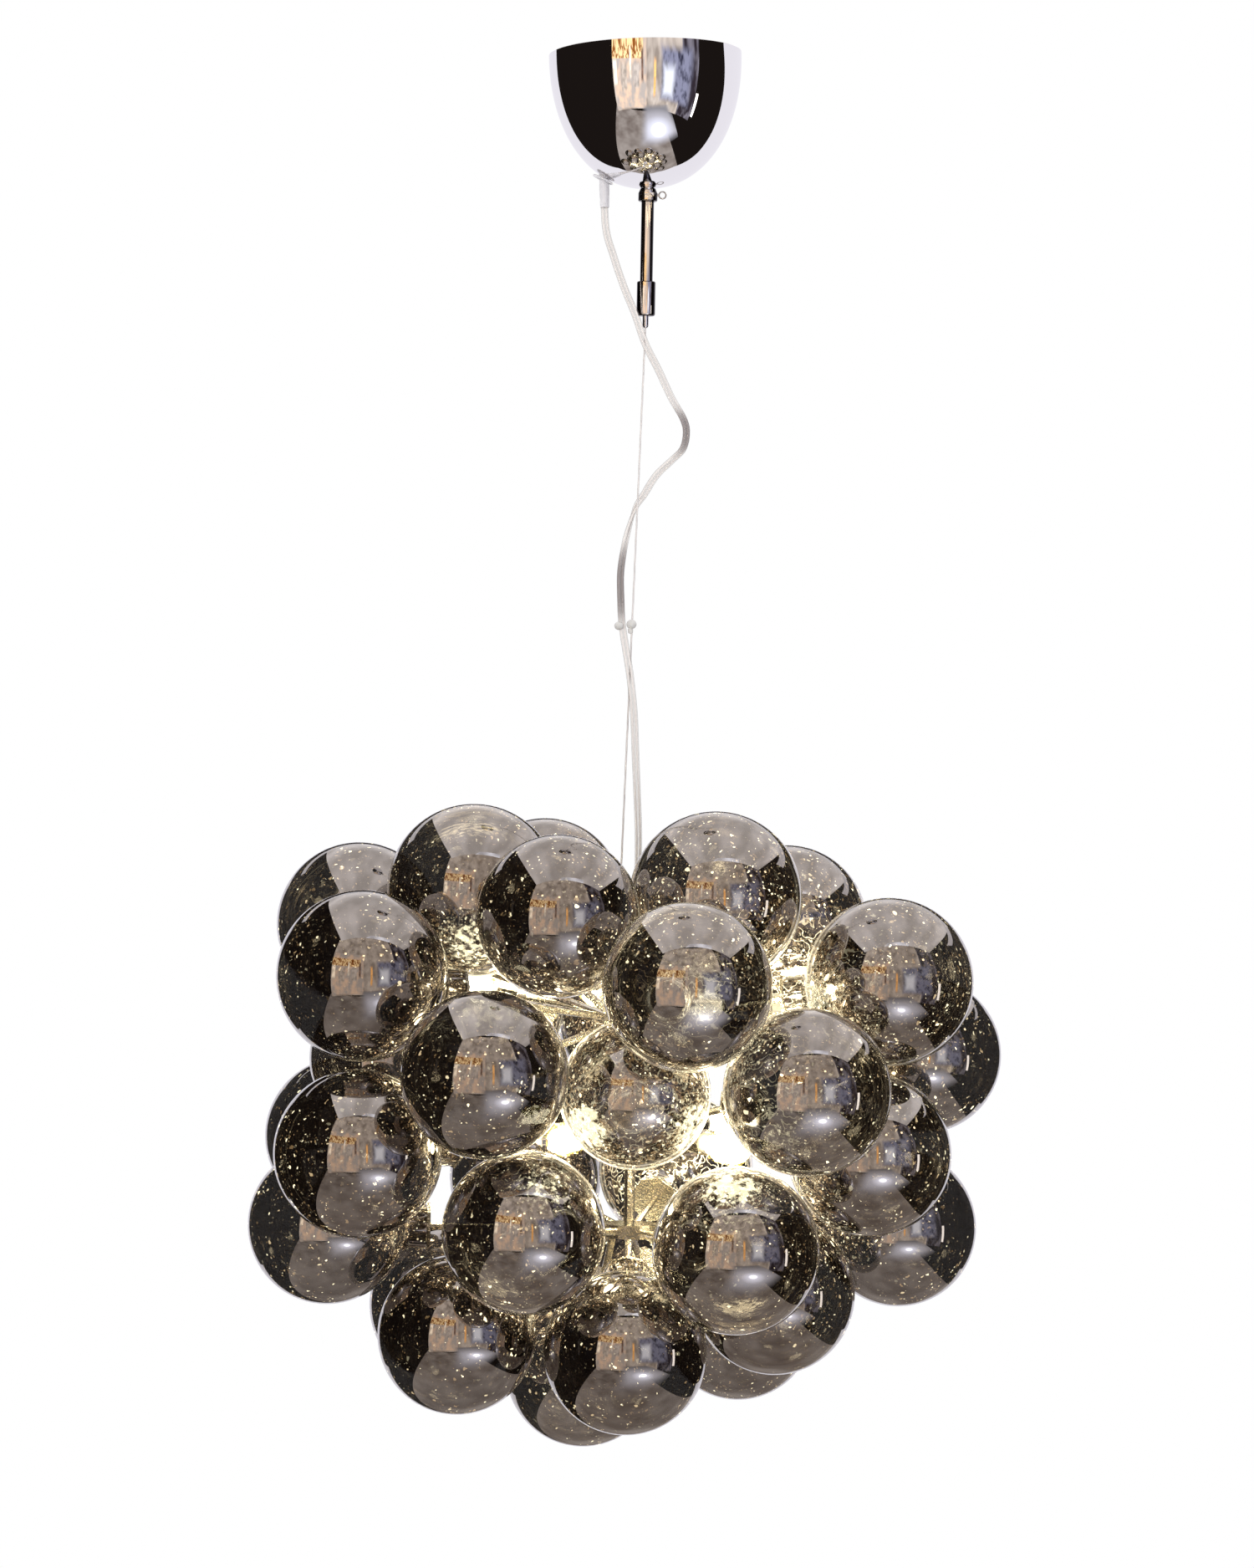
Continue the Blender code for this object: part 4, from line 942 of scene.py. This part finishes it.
def blown_globe(name, centre, axis, radius):
    """A ball drawn into a short open neck, its heights in shares of the radius."""
    last = 180.0 - math.degrees(math.asin(NECK_RADIUS / radius)) - NECK_GAP
    profile = [(0.0, -radius)]
    for step in range(1, GLOBE_RINGS + 1):
        angle = math.radians(last * step / GLOBE_RINGS)
        profile.append((radius * math.sin(angle), -radius * math.cos(angle)))
    bore = NECK_RADIUS - NECK_WALL
    profile += [(NECK_RADIUS, radius * NECK_FOOT), (NECK_RADIUS, radius * NECK_END)]
    profile += [(NECK_RADIUS - NECK_WALL / 2, radius * (NECK_END + 0.005))]
    profile += [(bore, radius * NECK_END), (bore, radius * NECK_INSIDE)]
    globe = turned(name, profile, GLOBE_SIDES)
    stand = Vector((0, 0, 1)).rotation_difference(axis).to_matrix().to_4x4()
    globe.data.transform(Matrix.Translation(centre) @ stand)
    return globe


def distances(corners, place):
    return np.linalg.norm(corners - np.array(place), axis=1)


# Painted light on a globe's corners, stored on its mesh for the material's glow: each lamp's own glow and its
# wide haze, and that of the hollow inside the cluster, where the light of all lamps gathers.
GLOW_REACH = 0.045
HAZE_REACH = 0.12
HAZE_SHARE = 0.14
LIT_HOLLOW = Vector((0.0, 0.03, -0.80))
HOLLOW_REACH = 0.050
HOLLOW_SHARE = 2.4


def painted_lamp_glow(corners):
    light = HOLLOW_SHARE * np.exp(-(distances(corners, LIT_HOLLOW) / HOLLOW_REACH) ** 2)
    for place in lamp_places:
        away = distances(corners, place)
        light += np.exp(-(away / GLOW_REACH) ** 2) + HAZE_SHARE * np.exp(-(away / HAZE_REACH) ** 2)
    return light


# Where a lamp all but touches a globe, its blaze through the coat is painted on as a glow. The table says how
# far each lamp's blaze spreads.
BLAZE_SPREAD = (1.45, 0.95, 0.70, 0.70, 1.10, 1.15, 0.90, 0.70)
BLAZE_REACH = 0.012
BLAZE_CLEARANCE = 0.09
BLAZE_MOST = 0.90


def painted_lamp_blaze(corners):
    blaze = np.zeros(len(corners))
    for place, spread in zip(lamp_places, BLAZE_SPREAD):
        away = distances(corners, place)
        weight = spread * min(max(1.05 - away.min() / BLAZE_CLEARANCE, 0.0), BLAZE_MOST)
        blaze = np.maximum(blaze, weight * np.exp(-((away - away.min()) / (BLAZE_REACH * spread)) ** 2))
    return blaze


# Painted glowing pinholes in the coat, in four sizes: cells a metre, smallest and largest reach in shares of
# a cell.
FINE_PINHOLES = [(520.0, 0.16, 0.46), (300.0, 0.14, 0.42)]
MEDIUM_PINHOLES = (160.0, 0.06, 0.32)
COARSE_PINHOLES = (80.0, 0.03, 0.20)
MOST_PINHOLES = 0.48


def smoke_mirror_material():
    """A thin smoke mirror, with pinholes painted on as glowing specks that shine brighter where a lamp is
    near.
    """
    material, nodes, links = new_material("smoke_mirror_glass_painted_glow")
    shader = shader_of(nodes, Metallic=1.0, Roughness=0.02, Coat_Weight=0.6, Coat_Roughness=0.01,
                       Coat_IOR=1.5, Alpha=0.88)
    spot = nodes.new("ShaderNodeTexCoord").outputs["Object"]
    light = mesh_number(nodes, "painted_lamp_glow")
    blaze = mesh_number(nodes, "painted_blaze_share")

    def sum_of(operation, *sources):
        return maths(nodes, links, operation, *sources)

    def rise(value, low, high):
        return smooth_step(nodes, links, value, low, high)

    def stirred(scale, reach):
        """Places pushed about by noise, so that round cells turn into shreds."""
        noise = add_node(nodes, "TexNoise", Scale=scale, Detail=2.0)
        shift = nodes.new("ShaderNodeVectorMath")
        shift.operation = "MULTIPLY_ADD"
        shift.inputs[1].default_value = (reach, reach, reach)
        links.new(spot, noise.inputs["Vector"])
        links.new(noise.outputs["Color"], shift.inputs[0])
        links.new(spot, shift.inputs[2])
        return shift.outputs[0]

    # Painted pinholes grow and crowd where a lamp's painted blaze is strong.
    painted_crowding = sum_of("MULTIPLY", rise(blaze, 0.20, 0.90), 0.14)

    def pinholes(scale, smallest, largest, source, share):
        """Painted glowing pinholes, one in some of the cells, of mixed size and strength."""
        cells = add_node(nodes, "TexVoronoi", Scale=scale)
        split = nodes.new("ShaderNodeSeparateColor")
        size = add_node(nodes, "MapRange", To_Min=smallest, To_Max=largest)
        links.new(source, cells.inputs["Vector"])
        links.new(cells.outputs["Color"], split.inputs[0])
        links.new(split.outputs["Red"], size.inputs["Value"])
        margin = sum_of("SUBTRACT", size.outputs["Result"], cells.outputs["Distance"])
        hole = rise(sum_of("ADD", margin, painted_crowding), 0.0, 0.06)
        open_here = sum_of("GREATER_THAN", share, split.outputs["Green"])
        strength = sum_of("MULTIPLY_ADD", sum_of("POWER", split.outputs["Blue"], 3.5), 2.2, 0.12)
        return sum_of("MULTIPLY", sum_of("MULTIPLY", hole, open_here), strength)

    coarse_place = stirred(40.0, 0.012)
    fine_place = stirred(190.0, 0.0070)
    patches = rise(object_noise(nodes, links, 26.0, 3.0), 0.36, 0.66)
    # The painted pinholes are denser and brighter where the painted lamp glow is strong.
    by_light = sum_of("MULTIPLY_ADD", light, 0.62, 0.17)
    by_patch = sum_of("MULTIPLY_ADD", patches, 1.4, 0.08)
    density = sum_of("MINIMUM", sum_of("MULTIPLY", by_light, by_patch), MOST_PINHOLES)
    density = sum_of("MULTIPLY_ADD", painted_crowding, 3.5, density)
    few = sum_of("MULTIPLY", density, rise(light, 0.0, 0.45))
    painted_sparkle = sum_of("ADD", *(pinholes(*sizes, fine_place, density) for sizes in FINE_PINHOLES))
    painted_sparkle = sum_of("ADD", painted_sparkle, pinholes(*MEDIUM_PINHOLES, fine_place, few))
    painted_sparkle = sum_of("ADD", painted_sparkle, pinholes(*COARSE_PINHOLES, coarse_place, few))
    # Painted streaks of glow, brighter where the painted lamp glow is strong.
    streaks = add_node(nodes, "TexWave", Scale=34.0, Distortion=14.0, Detail=2.0, Detail_Scale=3.0)
    streaks.wave_type = "RINGS"
    links.new(coarse_place, streaks.inputs["Vector"])
    streak_lines = rise(streaks.outputs["Fac"], 0.90, 1.0)
    painted_sparkle = sum_of("MULTIPLY_ADD", streak_lines, rise(light, 0.12, 0.9), painted_sparkle)
    level = sum_of("MULTIPLY_ADD", painted_crowding, 14.0, sum_of("MULTIPLY_ADD", light, 1.7, 0.80))
    painted_sparkle = sum_of("MULTIPLY", painted_sparkle, level)
    # A painted flare round each close lamp and a painted glow where the lamp glow brims over, both added to
    # the emission.
    ragged = object_noise(nodes, links, 210.0, 5.0)
    painted_flare = rise(sum_of("MULTIPLY_ADD", ragged, 1.2, blaze), 1.26, 1.42)
    painted_brimming = rise(sum_of("MULTIPLY_ADD", ragged, 1.2, light), 1.75, 2.30)
    painted_sparkle = sum_of("MULTIPLY_ADD", painted_flare, 9.0, painted_sparkle)
    painted_sparkle = sum_of("MULTIPLY_ADD", painted_brimming, 1.1, painted_sparkle)
    sparkle_light = nodes.new("ShaderNodeEmission")
    sparkle_tone = tone_ramp(nodes, links, painted_sparkle, (0.0, 1.0, 0.58, 0.22), (1.0, 1.0, 0.90, 0.58))
    links.new(sparkle_tone, sparkle_light.inputs["Color"])
    links.new(painted_sparkle, sparkle_light.inputs["Strength"])

    # Painted rim highlights: thin glowing lines near each globe's outline, as strong as the painted lamp glow
    # there.
    facing = add_node(nodes, "LayerWeight", Blend=0.5).outputs["Facing"]
    lines = [(place, tone, tone, tone) for place, tone in
             ((0.62, 0.0), (0.66, 0.8), (0.70, 0.05), (0.75, 0.10), (0.79, 1.0), (0.85, 0.9), (0.88, 0.0))]
    painted_rim_lines = tone_ramp(nodes, links, facing, *lines)
    rim_light = sum_of("MULTIPLY", painted_rim_lines, rise(light, 0.06, 0.8))
    painted_rim_glow = add_node(nodes, "Emission", Color=(1.0, 0.90, 0.66, 1))
    links.new(rim_light, painted_rim_glow.inputs["Strength"])
    both = nodes.new("ShaderNodeAddShader")
    whole = nodes.new("ShaderNodeAddShader")
    links.new(sparkle_light.outputs[0], both.inputs[0])
    links.new(painted_rim_glow.outputs[0], both.inputs[1])
    links.new(shader.outputs[0], whole.inputs[0])
    links.new(both.outputs[0], whole.inputs[1])
    links.new(whole.outputs[0], nodes["Material Output"].inputs["Surface"])

    smoke = object_noise(nodes, links, 14.0, 3.0)
    colour_by(nodes, links, smoke, (0.0, 0.28, 0.245, 0.220), (1.0, 0.41, 0.375, 0.350))
    bumps_by(nodes, links, object_noise(nodes, links, 22.0, 1.0), 0.10, 0.004)
    return material


smoke_mirror = smoke_mirror_material()
for name in sorted(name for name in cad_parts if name.startswith("globe_")):
    globe = blown_globe("blown_" + name, *globe_measures(name))
    corners = np.array([vertex.co for vertex in globe.data.vertices])
    for label, values in (("painted_lamp_glow", painted_lamp_glow(corners)), ("painted_blaze_share", painted_lamp_blaze(corners))):
        attribute = globe.data.attributes.new(label, "FLOAT", "POINT")
        attribute.data.foreach_set("value", values.astype(np.float32))
    globe.data.materials.append(smoke_mirror)
    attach(globe, "cluster")
    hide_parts(name)

bpy.context.view_layer.update()
low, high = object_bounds()
